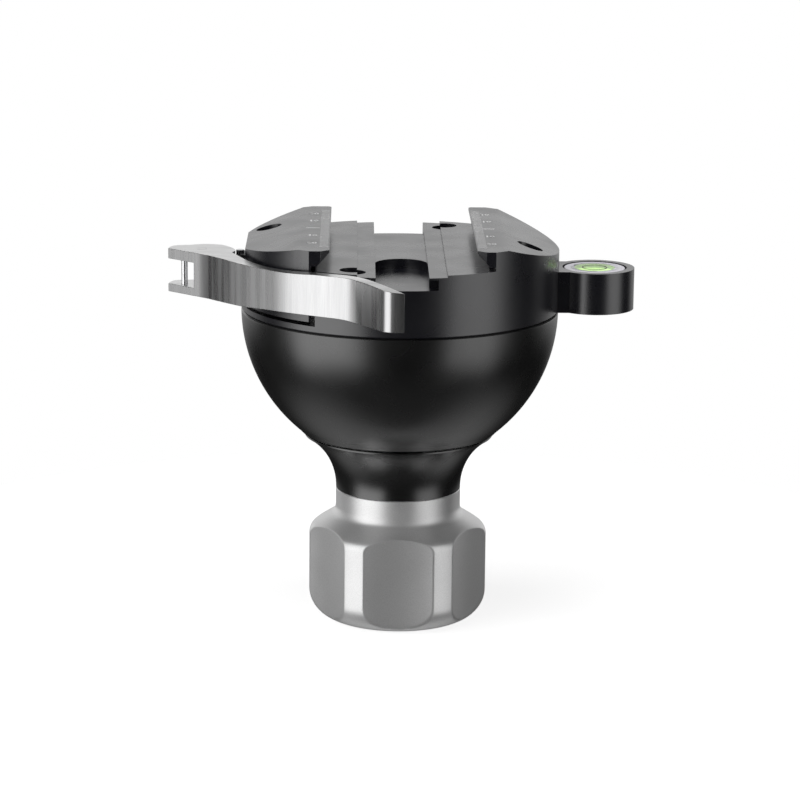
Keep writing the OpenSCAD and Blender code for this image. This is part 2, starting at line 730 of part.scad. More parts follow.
module jaw_springs() color("#d0d2d4")
    for (y = [-guide_y, guide_y])
        translate([-spring_in_x - spring_wire_d / 2 - fit_gap, y, guide_z])
            rotate([0, -90, 0]) spring();

module draw_bar() color("#a8abae") difference() {
    union() {
        rod_x(bar_r, body_wall_x - bar_grip, pivot_x, -pivot_y, bar_z);
        translate([-pivot_x, -pivot_y, bar_z - eye_h / 2]) cylinder(r = eye_r, h = eye_h);
    }
    translate([-pivot_x, -pivot_y, 0]) rod(pivot_r + run_gap, lever_z, lever_top);
    translate([bar_in_x - anchor_back, -pivot_y, 0]) rod(anchor_d / 2 + fit_gap, 0, bed_z);
}

module draw_bar_anchor() color("#c4c7ca")
    translate([bar_in_x - anchor_back, -pivot_y, 0]) rod(anchor_d / 2, 0, bar_z + bar_d);

module thrust_pad() color("#8b8e92") difference() {
    box(-follower_x, -pad_in_x, -pivot_y - pad_w / 2, -pivot_y + pad_w / 2, pad_low_z, pad_top_z);
    rod_x(bar_r + pass_gap, 0, ball_r + over, -pivot_y, bar_z);
    translate([-follower_x, -pivot_y, 0]) rod(follower_r + fit_gap, 0, lever_top);
}

module follower_pins() color("#c4c7ca") translate([-follower_x, -pivot_y, 0]) {
    rod(follower_r, pad_low_z, fork_low_z - fit_gap);
    rod(follower_r, fork_top_z + fit_gap, lever_top - seat_gap / 2);
}

// Plan of the lever, closed, round the body
function tab_point(s, w) =
    let (a = kick_at + 180 - kick_turn, cx = -(arm_out_r + kick_r) * cos(180 - kick_at),
         cy = -(arm_out_r + kick_r) * sin(180 - kick_at),
         e = 180 - kick_at - kick_turn)
    [cx + kick_r * cos(e) + s * sin(e) + w * cos(e),
     cy + kick_r * sin(e) - s * cos(e) + w * sin(e)];

// What is cut off above the lever's tab, whose top slopes down towards its end
module tab_top_cut() {
    end = tab_point(tab_len, 0);
    translate([end[0], end[1], 0]) rotate([0, 0, tab_angle]) rotate([90, 0, 0])
        linear_extrude(height = tab_len, center = true) polygon(concat(
            [for (i = [0 : tab_steps]) [tab_slope_l * (i / tab_steps - 1),
                lever_top - tab_drop * pow(i / tab_steps, tab_curve)]],
            [[over, lever_top - tab_drop], [over, lever_top + over],
             [-tab_slope_l, lever_top + over]]));
}

function lever_outline() =
    let (left = [-pivot_x + cam_r * cos(hub_left), -pivot_y + cam_r * sin(hub_left)],
         left_at = atan2(left[1], left[0]),
         touch = left_at + acos(arm_out_r / norm(left)),
         kick = -kick_at,
         kx = (arm_out_r + kick_r) * cos(kick),
         ky = (arm_out_r + kick_r) * sin(kick))
    concat(
        [for (a = [hub_right : hub_step : hub_left])
            [-pivot_x + cam_radius(a) * cos(a), -pivot_y + cam_radius(a) * sin(a)]],
        [left],
        arc(0, 0, arm_out_r, touch, kick),
        arc(kx, ky, kick_r, kick + 180, kick + 180 - kick_turn),
        [for (p = tab_end_shares) tab_point(p[0] * tab_len, p[1] * lever_t)],
        arc(kx, ky, kick_r + lever_t, kick + 180 - kick_turn, kick + 180),
        [for (i = [0 : arc_steps]) let (a = kick + (arm_start - kick) * i / arc_steps,
            r = arm_in_r + arm_thin * i / arc_steps) [r * cos(a), r * sin(a)]]);

module lever() color("#cfd1d3") difference() {
    translate([0, 0, lever_z]) linear_extrude(height = lever_h) polygon(lever_outline());
    tab_top_cut();
    translate([-arch_x, 0, lever_z + arch_h - arch_r]) rotate([90, 0, 0])
        cylinder(r = arch_r, h = 2 * ball_d, center = true, $fn = 360);
    translate([-scoop_x, 0, lever_top - scoop_h + scoop_r]) rotate([90, 0, 0])
        cylinder(r = scoop_r, h = 2 * ball_d, center = true, $fn = 360);
    translate([-pivot_x, -pivot_y, 0]) {
        box(-cam_r - over, web_x, -2 * cam_r, cam_r + over, fork_low_z, fork_top_z);
        box(-cam_r - over, cam_r + over, web_y, cam_r + over, fork_low_z, fork_top_z);
        rod(pivot_r + fit_gap, lever_z - over, lever_top + over);
        translate([-stop_pin_x, -stop_pin_y, 0])
            rod(stop_pin_d / 2 + fit_gap, lever_z + seat_gap, lever_top - seat_gap);
    }
}

module lever_pivot_pin() color("#d8dadc")
    translate([-pivot_x, -pivot_y, 0]) rod(pivot_r, lever_z, lever_top);

module lever_stop_pin() color("#d8dadc")
    translate([-pivot_x - stop_pin_x, -pivot_y - stop_pin_y, 0])
        rod(stop_pin_d / 2, lever_z + seat_gap, lever_top - seat_gap);

module vial_cup() color("#e9e7f0") translate([vial_x, 0, 0]) difference() {
    rod(vial_r, vial_seat_z, vial_top_z);
    rod(vial_well_r, vial_well_z, boss_top);
}

module bubble() {
    translate([0, 0, lens_z]) intersection() {
        rod(bubble_r, -bubble_r, 0);
        translate([0, 0, bubble_r - bubble_r / 3]) sphere(r = bubble_r);
    }
}

module vial_fluid() color("#b9e07c") translate([vial_x, 0, 0]) difference() {
    rod(vial_well_r, vial_well_z, lens_z);
    bubble();
}

module vial_bubble() color("#eef8d8") translate([vial_x, 0, 0]) bubble();

module vial_lens() color("#eef6ea") translate([vial_x, 0, 0])
    rod(vial_well_r, lens_z, vial_top_z);

half_ball();
tie_stud();
clamp_cup();
cup_liner();
thrust_washer();
knob();
knob_nut();
knob_cap();
stop_washer();
stop_screw();
clamp_body();
clamp_screws();
movable_jaw();
guide_pins();
jaw_springs();
draw_bar();
draw_bar_anchor();
thrust_pad();
follower_pins();
lever();
lever_pivot_pin();
lever_stop_pin();
vial_cup();
vial_fluid();
vial_bubble();
vial_lens();
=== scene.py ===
"""Looks of the leveling base: finishes, rounded edges, scale ticks, bubble level, light and camera.

The scene is in metres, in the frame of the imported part: origin at the centre of the ball,
+Z up, +X towards the bubble level, the camera in front along -Y.
"""

import math

import bmesh
import bpy
from mathutils import Matrix, Vector


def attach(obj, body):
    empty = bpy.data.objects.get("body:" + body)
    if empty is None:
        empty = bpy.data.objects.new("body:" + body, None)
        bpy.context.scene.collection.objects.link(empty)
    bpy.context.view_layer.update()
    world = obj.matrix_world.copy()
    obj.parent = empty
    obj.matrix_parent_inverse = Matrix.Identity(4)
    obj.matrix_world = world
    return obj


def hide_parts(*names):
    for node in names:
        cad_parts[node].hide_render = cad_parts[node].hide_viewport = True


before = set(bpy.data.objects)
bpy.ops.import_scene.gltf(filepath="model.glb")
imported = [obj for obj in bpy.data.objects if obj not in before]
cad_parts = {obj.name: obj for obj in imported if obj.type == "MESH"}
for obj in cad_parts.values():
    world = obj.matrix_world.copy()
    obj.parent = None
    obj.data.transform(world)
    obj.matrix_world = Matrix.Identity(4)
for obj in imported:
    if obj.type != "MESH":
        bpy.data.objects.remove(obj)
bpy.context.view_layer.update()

MM = 0.001

# Sizes in millimetres. The solids' sizes are those of the part's source. The rest are finish: the
# small edges, the paint, the collar's fuller fillet, the deeper flutes and the lever's slight bend.

# Ball, stud and the seam under the clamp
BALL_R = 37.5
BALL_FLOOR_Z = -29.7
BALL_BEVEL = 1.1
SEAM_CHAMFER = 0.35
SEAM_Z = -0.1
STUD_R = 6.0
STUD_CLEARANCE = 0.02

# Clamp cup and its liner
CUP_RIM_R = 22.4
CUP_LIP_W = 0.9
CUP_RIM_H = 0.4
RIM_Z = -30.3
CUP_FOOT_Z = -43.8
SEAT_R = 41.5
SEAT_STEPS = (1.2, 2.6)
NECK_R = 14.9
FLARE_R = 15.19
STUD_HOLE_R = 6.4
LINER_IN_R = 11.0
LINER_OUT_R = 16.5
LINER_T = 1.4
RIM_EDGE = 0.12
FLOOR_EDGE = 0.25

# Tie-down knob
KNOB_R = 21.25
KNOB_FOOT_Z = -75.3
COLLAR_Z = -49.7
COLLAR_CHAMFER = 0.25
SHOULDER_R = 2.8
SHOULDER_ANGLE = math.radians(32)
COLLAR_FILLET = 2.8
FOOT_R = 6.5
FOOT_FLAT_R = 16.4
FLUTES = 6
FLUTE_FLOOR = 18.84
FLUTE_HOLLOW_R = 48.0
FLUTE_EDGE_R = 0.22
THRUST_POCKET_Z = -45.0
THRUST_R = 11.82
NUT_CAVITY_R = 10.0
NUT_TOP_Z = -46.4
CAP_R = 13.0
CAP_TOP_Z = -73.68

# Clamp body, moving jaw and their scales
JAW_TOP_Z = 18.8
JAW_X = 0.8
JAW_R = 37.0
CLAMP_EDGE = 0.32
FIXED_LIP_X = 17.1
MOVING_LIP_X = 16.5
TICKS = 51
TICK_PITCH = 1.0
TICK_LEN = 2.0
TICK_W = 0.2
TICK_INSET = 1.3
MARK_X = 20.6
MARK_LEN = 3.2
MARK_W = 0.5
DIGIT_PITCH = 1.15
DIGIT_HALF_W = 0.34
DIGIT_HALF_H = 0.85
DIGIT_STROKE = 0.19
PAINT_T = 0.02

# Clamp screws
SCREW_CIRCLE_R = 32.0
SCREW_ANGLE = 69.5
BAY_SCREW = 1
SCREW_SEAT_Z = 6.0
SCREW_SEAT_R = 3.0
BAY_SEAT_Z = 1.6
SCREW_R = 1.5
SCREW_HEAD_R = 2.75
SCREW_HEAD_H = 3.0
SCREW_HEAD_EDGE = 0.35
SCREW_DEPTH = 8.0

# Springs round the guide pins
SPRING_IN_X = 16.7
SPRING_OUT_X = 27.7
SPRING_R = 2.8
SPRING_WIRE_R = 0.3
SPRING_TURNS = 6
SPRING_CLEARANCE = 0.02
GUIDE_Y = 18.0
GUIDE_Z = 8.5

# Bubble level
VIAL_X = 46.0
BOSS_R = 9.4
VIAL_R = 7.2
VIAL_WELL_R = 5.6
VIAL_SEAT_Z = 3.7
VIAL_FLOOR_T = 1.0
VIAL_TOP_Z = 9.8
FACE_RING_IN_R = 4.8
FACE_RING_T = 0.06
FACE_RING_CLEARANCE = 0.03
TARGET_OUT_R = 3.0
TARGET_IN_R = 2.7
TARGET_DEPTH = 0.04
TARGET_PROUD = 0.02

# Lever: the plan of its walls, and the slight bend of its straight front
PIVOT_X = -46.6
PIVOT_Y = -4.2
CAM_R = 7.9
CAM_DROP = 2.0
CAM_TRAVEL = 110.0
CAM_REST = 120.0
CAM_RISE = 150.0
ARM_OUT_R = 41.3
ARM_IN_R = 38.3
ARM_TAPER = 0.9
ARM_TOUCH = math.radians(-135.0)
ARM_BACK = math.radians(-158)
KICK_AT = math.radians(-112)
KICK_TURN = math.radians(27)
KICK_R = 10.0
TAB_LEN = 14.8
TAB_T = 3.0
TAB_END_SHARES = ((0.75, 0.0), (0.88, 0.28), (1.0, 1.0))
TAB_BEND_SHARE = 0.36
LEVER_EDGE = 0.3
LEVER_FLAT = ((-54.495, -3.924), (-29.196, -29.211))
LEVER_CORNER_X = -44.7
LEVER_DENT = 0.8
LEVER_SWELL = 1.9


def v_mm(x, y, z):
    return Vector((x * MM, y * MM, z * MM))


# Materials


class Finish:
    """A Principled material, with helpers for patterns that follow Object coordinates."""

    def __init__(self, name, colour, metallic=0.0, roughness=0.4, ior=1.5, **sockets):
        self.mat = bpy.data.materials.new(name)
        self.mat.use_nodes = True
        self.tree = self.mat.node_tree
        self.shader = self.tree.nodes["Principled BSDF"]
        self.shader.inputs["Base Color"].default_value = (*colour, 1.0)
        self.shader.inputs["Metallic"].default_value = metallic
        self.shader.inputs["Roughness"].default_value = roughness
        self.shader.inputs["IOR"].default_value = ior
        for socket, value in sockets.items():
            self.shader.inputs[socket.replace("_", " ")].default_value = value
        self.mat.diffuse_color = (*colour, 1.0)
        self.place = self.tree.nodes.new("ShaderNodeTexCoord").outputs["Object"]

    def link(self, a, b):
        self.tree.links.new(a, b)

    def noise(self, scale, stretch=(1, 1, 1), detail=3.0, rough=0.55):
        """Noise whose grain is 1/scale metres, pulled out along the axes with a small stretch."""
        mapping = self.tree.nodes.new("ShaderNodeMapping")
        mapping.inputs["Scale"].default_value = stretch
        self.link(self.place, mapping.inputs["Vector"])
        node = self.tree.nodes.new("ShaderNodeTexNoise")
        node.inputs["Scale"].default_value = scale
        node.inputs["Detail"].default_value = detail
        node.inputs["Roughness"].default_value = rough
        self.link(mapping.outputs["Vector"], node.inputs["Vector"])
        return node.outputs["Fac"]

    def ranged(self, value, low, high, from_low=0.3, from_high=0.7):
        node = self.tree.nodes.new("ShaderNodeMapRange")
        ends = {"From Min": from_low, "From Max": from_high, "To Min": low, "To Max": high}
        for socket, number in ends.items():
            node.inputs[socket].default_value = number
        self.link(value, node.inputs["Value"])
        return node.outputs["Result"]

    def roughness(self, value):
        self.link(value, self.shader.inputs["Roughness"])

    def colour_between(self, value, dark, light):
        ramp = self.tree.nodes.new("ShaderNodeValToRGB")
        ramp.color_ramp.elements[0].position = 0.3
        ramp.color_ramp.elements[0].color = (*dark, 1.0)
        ramp.color_ramp.elements[1].position = 0.7
        ramp.color_ramp.elements[1].color = (*light, 1.0)
        self.link(value, ramp.inputs["Fac"])
        self.link(ramp.outputs["Color"], self.shader.inputs["Base Color"])

    def bump(self, height, depth, strength=1.0):
        node = self.tree.nodes.new("ShaderNodeBump")
        node.inputs["Strength"].default_value = strength
        node.inputs["Distance"].default_value = depth
        self.link(height, node.inputs["Height"])
        self.link(node.outputs["Normal"], self.shader.inputs["Normal"])


def blasted(name, dark, light, metallic, roughness, ior=1.5, grain=5200.0, depth=0.000012):
    """A bead-blasted, anodised surface: fine grain with slight clouds of gloss."""
    f = Finish(name, light, metallic, roughness, ior)
    grains = f.noise(grain, detail=2.0)
    clouds = f.noise(90.0, detail=2.0)
    f.colour_between(grains, dark, light)
    f.roughness(f.ranged(clouds, roughness - 0.03, roughness + 0.03))
    f.bump(grains, depth, 0.5)
    return f


def brushed(name, dark, light, roughness, stretch, scale=2600.0, depth=0.000006):
    """Steel brushed along one axis: long fine scratches in colour, gloss and height."""
    f = Finish(name, light, 1.0, roughness)
    scratches = f.noise(scale, stretch, detail=4.0, rough=0.65)
    broad = f.noise(scale / 7, stretch, detail=2.0)
    f.colour_between(scratches, dark, light)
    f.roughness(f.ranged(broad, roughness - 0.05, roughness + 0.05))
    f.bump(scratches, depth, 0.6)
    return f


BLACK = blasted(
    "black_anodised", (0.004, 0.004, 0.004), (0.008, 0.008, 0.008), 0.0, 0.27, ior=1.95
).mat
GREY = blasted(
    "black_anodised_clamp", (0.006, 0.006, 0.009), (0.011, 0.011, 0.0155), 0.0, 0.28, ior=1.95
).mat
SILVER = blasted(
    "silver_anodised", (0.74, 0.74, 0.74), (0.84, 0.84, 0.84), 0.66, 0.39, grain=4200.0
).mat
LEVER_STEEL = brushed(
    "brushed_lever", (0.52, 0.52, 0.525), (0.59, 0.59, 0.59), 0.28, (1.0, 1.0, 0.03), 4200.0
).mat
TOP_STEEL = brushed(
    "brushed_lever_top", (0.72, 0.72, 0.72), (0.86, 0.86, 0.86), 0.32, (0.05, 1.0, 1.0)
).mat
# Polished steel, lighter than the brushed steel: partly its polish, partly a painted highlight.
POLISHED_AND_HIGHLIGHT = brushed("polished_steel_and_highlight", (0.80, 0.80, 0.81), (0.88, 0.88, 0.89), 0.32, (1, 1, 0.1)).mat
STEEL = brushed("turned_steel", (0.50, 0.51, 0.52), (0.62, 0.63, 0.64), 0.25, (1, 0.2, 1)).mat
DARK_STEEL = blasted("black_oxide", (0.018, 0.018, 0.019), (0.035, 0.035, 0.037), 0.4, 0.42).mat
BRONZE = brushed("bronze", (0.50, 0.36, 0.16), (0.64, 0.48, 0.24), 0.32, (1, 1, 0.1)).mat
LINER = blasted("friction_liner", (0.012, 0.012, 0.012), (0.03, 0.03, 0.03), 0.0, 0.85).mat
WHITE_PLASTIC = blasted(
    "vial_plastic", (0.74, 0.72, 0.80), (0.80, 0.78, 0.86), 0.0, 0.30, depth=0.000004
).mat
TICK_PAINT = blasted(
    "tick_paint", (0.84, 0.84, 0.84), (0.94, 0.94, 0.94), 0.0, 0.55, depth=0.000004
).mat


def green_fluid():
    """Clouded green, with a weak glow that stands for the light that passes through it."""
    f = Finish("green_fluid", (0.50, 0.74, 0.28), 0.0, 0.06, 1.36)
    f.colour_between(f.noise(160.0, detail=1.0), (0.50, 0.75, 0.27), (0.60, 0.82, 0.38))
    f.shader.inputs["Subsurface Weight"].default_value = 0.3
    f.shader.inputs["Subsurface Scale"].default_value = 0.002
    f.shader.inputs["Emission Color"].default_value = (0.5, 0.72, 0.3, 1.0)
    f.shader.inputs["Emission Strength"].default_value = 0.7
    return f.mat


def glossy(name, colour, ior, low, high, grain, **sockets):
    """A clear or wet surface whose gloss varies a little."""
    f = Finish(name, colour, 0.0, (low + high) / 2, ior, **sockets)
    f.roughness(f.ranged(f.noise(grain), low, high))
    return f.mat


FLUID = green_fluid()
BUBBLE = glossy("bubble", (0.78, 0.90, 0.62), 1.2, 0.03, 0.09, 300.0)
LENS = glossy("clear_lens", (0.95, 0.98, 0.95), 1.46, 0.02, 0.06, 200.0, Alpha=0.14)


# Mesh helpers


def new_piece(name, mesh, material, body, slot, *nodes):
    """Puts a finished mesh in the scene, on its body, in place of the nodes it stands for."""
    obj = bpy.data.objects.new(name, mesh)
    bpy.context.scene.collection.objects.link(obj)
    if material is not None:
        mesh.materials.clear()
        mesh.materials.append(material)
    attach(obj, body)
    if nodes:
        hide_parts(*nodes)
    return obj


def smooth_by_angle(mesh, degrees=32.0):
    mesh.shade_smooth()
    mesh.set_sharp_from_angle(angle=math.radians(degrees))


def rounded(points, radii, steps=4):
    """The outline with each corner whose radius isn't zero turned into an arc of that radius."""
    out = []
    count = len(points)
    for i, (x, y) in enumerate(points):
        radius = radii[i] if isinstance(radii, (list, tuple)) else radii
        corner = Vector((x, y))
        before = Vector(points[i - 1]) - corner
        after = Vector(points[(i + 1) % count]) - corner
        turn = before.angle(after, 0.0)
        if radius <= 0 or turn < 0.02 or turn > math.pi - 0.05:
            out.append((x, y))
            continue
        reach = min(radius / math.tan(turn / 2), 0.45 * before.length, 0.45 * after.length)
        start = corner + before.normalized() * reach
        end = corner + after.normalized() * reach
        for k in range(steps + 1):
            t = k / steps
            out.append(tuple((1 - t) ** 2 * start + 2 * t * (1 - t) * corner + t * t * end))
    return out


def lathe(name, outline, segments=160):
    """A closed outline of (radius, height) in millimetres, turned round the Z axis."""
    bm = bmesh.new()
    rings = []
    for k in range(segments):
        a = 2 * math.pi * k / segments
        rings.append(
            [bm.verts.new(v_mm(r * math.cos(a), r * math.sin(a), z)) for r, z in outline]
        )
    count = len(outline)
    for k in range(segments):
        ring, following = rings[k], rings[(k + 1) % segments]
        for i in range(count):
            j = (i + 1) % count
            if outline[i][0] < 1e-6 and outline[j][0] < 1e-6:
                continue
            bm.faces.new((ring[i], following[i], following[j], ring[j]))
    bmesh.ops.remove_doubles(bm, verts=bm.verts, dist=1e-7)
    bmesh.ops.dissolve_degenerate(bm, edges=bm.edges, dist=1e-8)
    bmesh.ops.recalc_face_normals(bm, faces=bm.faces)
    mesh = bpy.data.meshes.new(name)
    bm.to_mesh(mesh)
    bm.free()
    smooth_by_angle(mesh)
    return mesh


def arc(cx, cy, r, a0, a1, n=16):
    """Points on an arc, angles in radians."""
    return [
        (cx + r * math.cos(a0 + (a1 - a0) * i / n), cy + r * math.sin(a0 + (a1 - a0) * i / n))
        for i in range(n + 1)
    ]


def between(start, end, steps):
    """The points between two points, without the two, that divide their line into steps."""
    a, b = Vector(start), Vector(end)
    return [tuple(a.lerp(b, k / steps)) for k in range(1, steps)]


def evaluated_mesh(obj, name):
    """The object's mesh with its modifiers applied, as a plain mesh of that name."""
    graph = bpy.context.evaluated_depsgraph_get()
    mesh = bpy.data.meshes.new_from_object(obj.evaluated_get(graph))
    mesh.name = name
    return mesh


def on_circle(cx, cy, r, inward=False):
    """The distance to a circle seen from above, and the circle's normal there."""
    sign = -1.0 if inward else 1.0

    def look(x, y):
        dx, dy = x - cx * MM, y - cy * MM
        far = math.hypot(dx, dy) or 1e-9
        return abs(far - r * MM), Vector((sign * dx / far, sign * dy / far, 0.0))

    return look


def on_outline(points, corner=6.5):
    """The distance to a closed outline, and its normal, smooth where the outline bends gently."""
    pts = [Vector((x * MM, y * MM)) for x, y in points]
    pts = [p for i, p in enumerate(pts) if (p - pts[i - 1]).length > 0.01 * MM]
    count = len(pts)
    flats = []
    for i in range(count):
        along = (pts[(i + 1) % count] - pts[i]).normalized()
        flats.append(Vector((along.y, -along.x)))

    def at_corner(i, own):
        other = flats[i - 1] if own == i else flats[i]
        mine = flats[own]
        if mine.angle(other, 0.0) > math.radians(corner):
            return mine
        return (mine + other).normalized()

    def look(x, y):
        here = Vector((x, y))
        best = None
        for i in range(count):
            start, span = pts[i], pts[(i + 1) % count] - pts[i]
            t = max(0.0, min(1.0, (here - start).dot(span) / span.length_squared))
            far = (here - start - span * t).length
            if best is None or far < best[0]:
                best = (far, i, t)
        far, i, t = best
        normal = at_corner(i, i).lerp(at_corner((i + 1) % count, i), t).normalized()
        return far, Vector((normal.x, normal.y, 0.0))

    return look


def true_normals(mesh, walls, near, crease=50.0):
    """Normals of the real surface: exact on the named walls, and flat faces stay flat."""
    faces_at = [[] for _ in mesh.vertices]
    for face in mesh.polygons:
        for v in face.vertices:
            faces_at[v].append(face.index)
    known = {}

    def corner(face, v):
        key = (face.index, v)
        if key not in known:
            normal = face.normal
            place = mesh.vertices[v].co
            if abs(normal.z) < 0.25:
                for wall in walls:
                    far, exact = wall(place.x, place.y)
                    if far < near * MM and exact.dot(normal) > 0.94:
                        normal = exact
                        break
            known[key] = normal
        return known[key]

    limit = math.cos(math.radians(crease))
    out = []
    for face in mesh.polygons:
        for v in face.vertices:
            own = corner(face, v)
            total = own * face.area**2
            for other in faces_at[v]:
                if other == face.index:
                    continue
                neighbour = mesh.polygons[other]
                theirs = corner(neighbour, v)
                if face.normal.dot(neighbour.normal) > limit:
                    total = total + theirs * neighbour.area**2
            out.append(total.normalized() if total.length > 0 else own)
    mesh.shade_smooth()
    mesh.normals_split_custom_set(out)


def carried_over(node, name, edge, walls, angle=30.0, shape=None, near=0.04):
    """A copy of a CAD node's mesh, merged, with its sharp edges rounded and true normals."""
    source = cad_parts[node].data
    bm = bmesh.new()
    bm.from_mesh(source)
    bmesh.ops.remove_doubles(bm, verts=bm.verts, dist=2e-7)
    bmesh.ops.dissolve_limit(
        bm, angle_limit=math.radians(0.4), verts=bm.verts, edges=bm.edges, delimit={"NORMAL"}
    )
    if shape is not None:
        shape(bm)
    mesh = bpy.data.meshes.new(name)
    bm.to_mesh(mesh)
    bm.free()
    holder = bpy.data.objects.new(name + "_raw", mesh)
    bpy.context.scene.collection.objects.link(holder)
    bevel = holder.modifiers.new("edges", "BEVEL")
    bevel.width = edge * MM
    bevel.segments = 2
    bevel.limit_method = "ANGLE"
    bevel.angle_limit = math.radians(angle)
    bevel.use_clamp_overlap = True
    bevel.miter_outer = "MITER_ARC"
    final = evaluated_mesh(holder, name)
    bpy.data.objects.remove(holder)
    true_normals(final, walls, near)
    return final


# Half ball


def half_ball_outline():
    low_r = math.sqrt(BALL_R**2 - (BALL_FLOOR_Z + BALL_BEVEL) ** 2)
    bottom = math.asin((BALL_FLOOR_Z + BALL_BEVEL) / BALL_R)
    top = math.asin(-SEAM_CHAMFER / BALL_R)
    bore_r = STUD_R + STUD_CLEARANCE
    outline = [(bore_r, SEAM_Z), (BALL_R - SEAM_CHAMFER, SEAM_Z)]
    outline += arc(0, 0, BALL_R, top, bottom, 56)
    outline += [(low_r - BALL_BEVEL, BALL_FLOOR_Z), (bore_r, BALL_FLOOR_Z)]
    radii = [0.0] * len(outline)
    radii[1] = radii[2] = RIM_EDGE
    radii[-3] = radii[-2] = FLOOR_EDGE
    return rounded(outline, radii)


new_piece(
    "ball_shell", lathe("ball_shell", half_ball_outline(), 256), BLACK, "base", "black_satin",
    "half_ball",
)


# Clamp cup


def cup_outline():
    flare_x = NECK_R + FLARE_R
    turn = math.asin((RIM_Z - CUP_RIM_H - CUP_FOOT_Z) / FLARE_R)
    lip_r = CUP_RIM_R - CUP_LIP_W
    seat_z = RIM_Z + math.sqrt(SEAT_R**2 - lip_r**2)

    def seat(r, x):
        return (x, seat_z - math.sqrt(r * r - x * x))

    outline = [(STUD_HOLE_R, CUP_FOOT_Z)]
    outline += arc(flare_x, CUP_FOOT_Z, FLARE_R, math.pi, math.pi - turn, 28)
    outline += [(CUP_RIM_R, RIM_Z - CUP_RIM_H), (CUP_RIM_R, RIM_Z), (lip_r, RIM_Z)]
    outline += [seat(SEAT_R, lip_r - step) for step in SEAT_STEPS]
    outline += [seat(SEAT_R, LINER_OUT_R), seat(SEAT_R + LINER_T, LINER_OUT_R)]
    outline += [seat(SEAT_R + LINER_T, LINER_IN_R), seat(SEAT_R, LINER_IN_R)]
    outline.append(seat(SEAT_R, STUD_HOLE_R))
    radii = [0.0] * len(outline)
    rim = outline.index((CUP_RIM_R, RIM_Z))
    radii[rim] = radii[rim - 1] = RIM_EDGE
    return rounded(outline, radii)


new_piece(
    "cup_flare", lathe("cup_flare", cup_outline(), 224), BLACK, "cup", "black_satin", "clamp_cup"
)


# Geometry Nodes helpers


class Tree:
    """A Geometry Nodes tree with named size inputs."""

    def __init__(self, name):
        self.tree = bpy.data.node_groups.new(name, "GeometryNodeTree")
        self.tree.interface.new_socket("Geometry", in_out="INPUT", socket_type="NodeSocketGeometry")
        self.tree.interface.new_socket(
            "Geometry", in_out="OUTPUT", socket_type="NodeSocketGeometry"
        )
        self.values = {}
        self.inside = self.tree.nodes.new("NodeGroupInput")
        self.outside = self.tree.nodes.new("NodeGroupOutput")

    def size(self, name, value):
        socket = self.tree.interface.new_socket(
            name, in_out="INPUT", socket_type="NodeSocketFloat"
        )
        self.values[socket.identifier] = value
        return self.inside.outputs[name]

    def add(self, kind, operation=None, **inputs):
        node = self.tree.nodes.new(kind)
        if operation is not None:
            node.operation = operation
        for name, value in inputs.items():
            self.feed(node.inputs[name.replace("_", " ")], value)
        return node

    def feed(self, socket, value):
        if isinstance(value, bpy.types.NodeSocket):
            self.tree.links.new(value, socket)
        else:
            socket.default_value = value

    def maths(self, operation, *values):
        node = self.tree.nodes.new("ShaderNodeMath")
        node.operation = operation
        for i, value in enumerate(values):
            self.feed(node.inputs[i], value)
        return node.outputs["Value"]

    def vector(self, x, y, z):
        node = self.tree.nodes.new("ShaderNodeCombineXYZ")
        for socket, value in zip(("X", "Y", "Z"), (x, y, z)):
            self.feed(node.inputs[socket], value)
        return node.outputs["Vector"]

    def end(self, geometry, material):
        """Realize Instances, Set Material, and out."""
        real = self.add("GeometryNodeRealizeInstances", Geometry=geometry)
        painted = self.add("GeometryNodeSetMaterial", Geometry=real.outputs["Geometry"])
        painted.inputs["Material"].default_value = material
        self.tree.links.new(painted.outputs["Geometry"], self.outside.inputs[0])

    def grown(self, name, mesh=None):
        """Runs the tree on a holder with this mesh and returns the result as a plain mesh."""
        holder = bpy.data.objects.new(name + "_holder", mesh or bpy.data.meshes.new(name + "_in"))
        bpy.context.scene.collection.objects.link(holder)
        modifier = holder.modifiers.new(name, "NODES")
        modifier.node_group = self.tree
        for identifier, value in self.values.items():
            modifier[identifier] = value
        result = evaluated_mesh(holder, name)
        bpy.data.objects.remove(holder)
        return result


# Tie-down knob: a turned outline whose radius each flute's hollow cuts back


def knob_outline():
    lean = math.cos(SHOULDER_ANGLE), math.sin(SHOULDER_ANGLE)
    turn = math.pi / 2 - SHOULDER_ANGLE
    shoulder_x = KNOB_R - SHOULDER_R
    run = shoulder_x + SHOULDER_R * math.cos(turn) - NECK_R
    shoulder_z = COLLAR_Z - run * math.tan(SHOULDER_ANGLE) - SHOULDER_R * math.sin(turn)
    foot_turn = math.acos(1 - (KNOB_R - FOOT_FLAT_R) / FOOT_R)
    foot_z = KNOB_FOOT_Z + FOOT_R * math.sin(foot_turn)
    outer = [(NECK_R - COLLAR_CHAMFER, CUP_FOOT_Z), (NECK_R, CUP_FOOT_Z - COLLAR_CHAMFER)]
    reach = COLLAR_FILLET * math.tan(math.pi / 4 - SHOULDER_ANGLE / 2)
    outer += arc(
        NECK_R + COLLAR_FILLET, COLLAR_Z + reach, COLLAR_FILLET, math.pi, math.pi + turn, 10
    )
    shoulder = arc(shoulder_x, shoulder_z, SHOULDER_R, turn, 0.0, 10)
    foot = arc(KNOB_R - FOOT_R, foot_z, FOOT_R, 0.0, -foot_turn, 14)
    outer += between(outer[-1], shoulder[0], 14) + shoulder
    outer += between(shoulder[-1], foot[0], 14) + foot
    inner = [(CAP_R, KNOB_FOOT_Z), (CAP_R, CAP_TOP_Z), (NUT_CAVITY_R, CAP_TOP_Z)]
    inner += [(NUT_CAVITY_R, NUT_TOP_Z), (STUD_HOLE_R, NUT_TOP_Z), (STUD_HOLE_R, THRUST_POCKET_Z)]
    inner += [(THRUST_R, THRUST_POCKET_Z), (THRUST_R, CUP_FOOT_Z)]
    return outer + inner


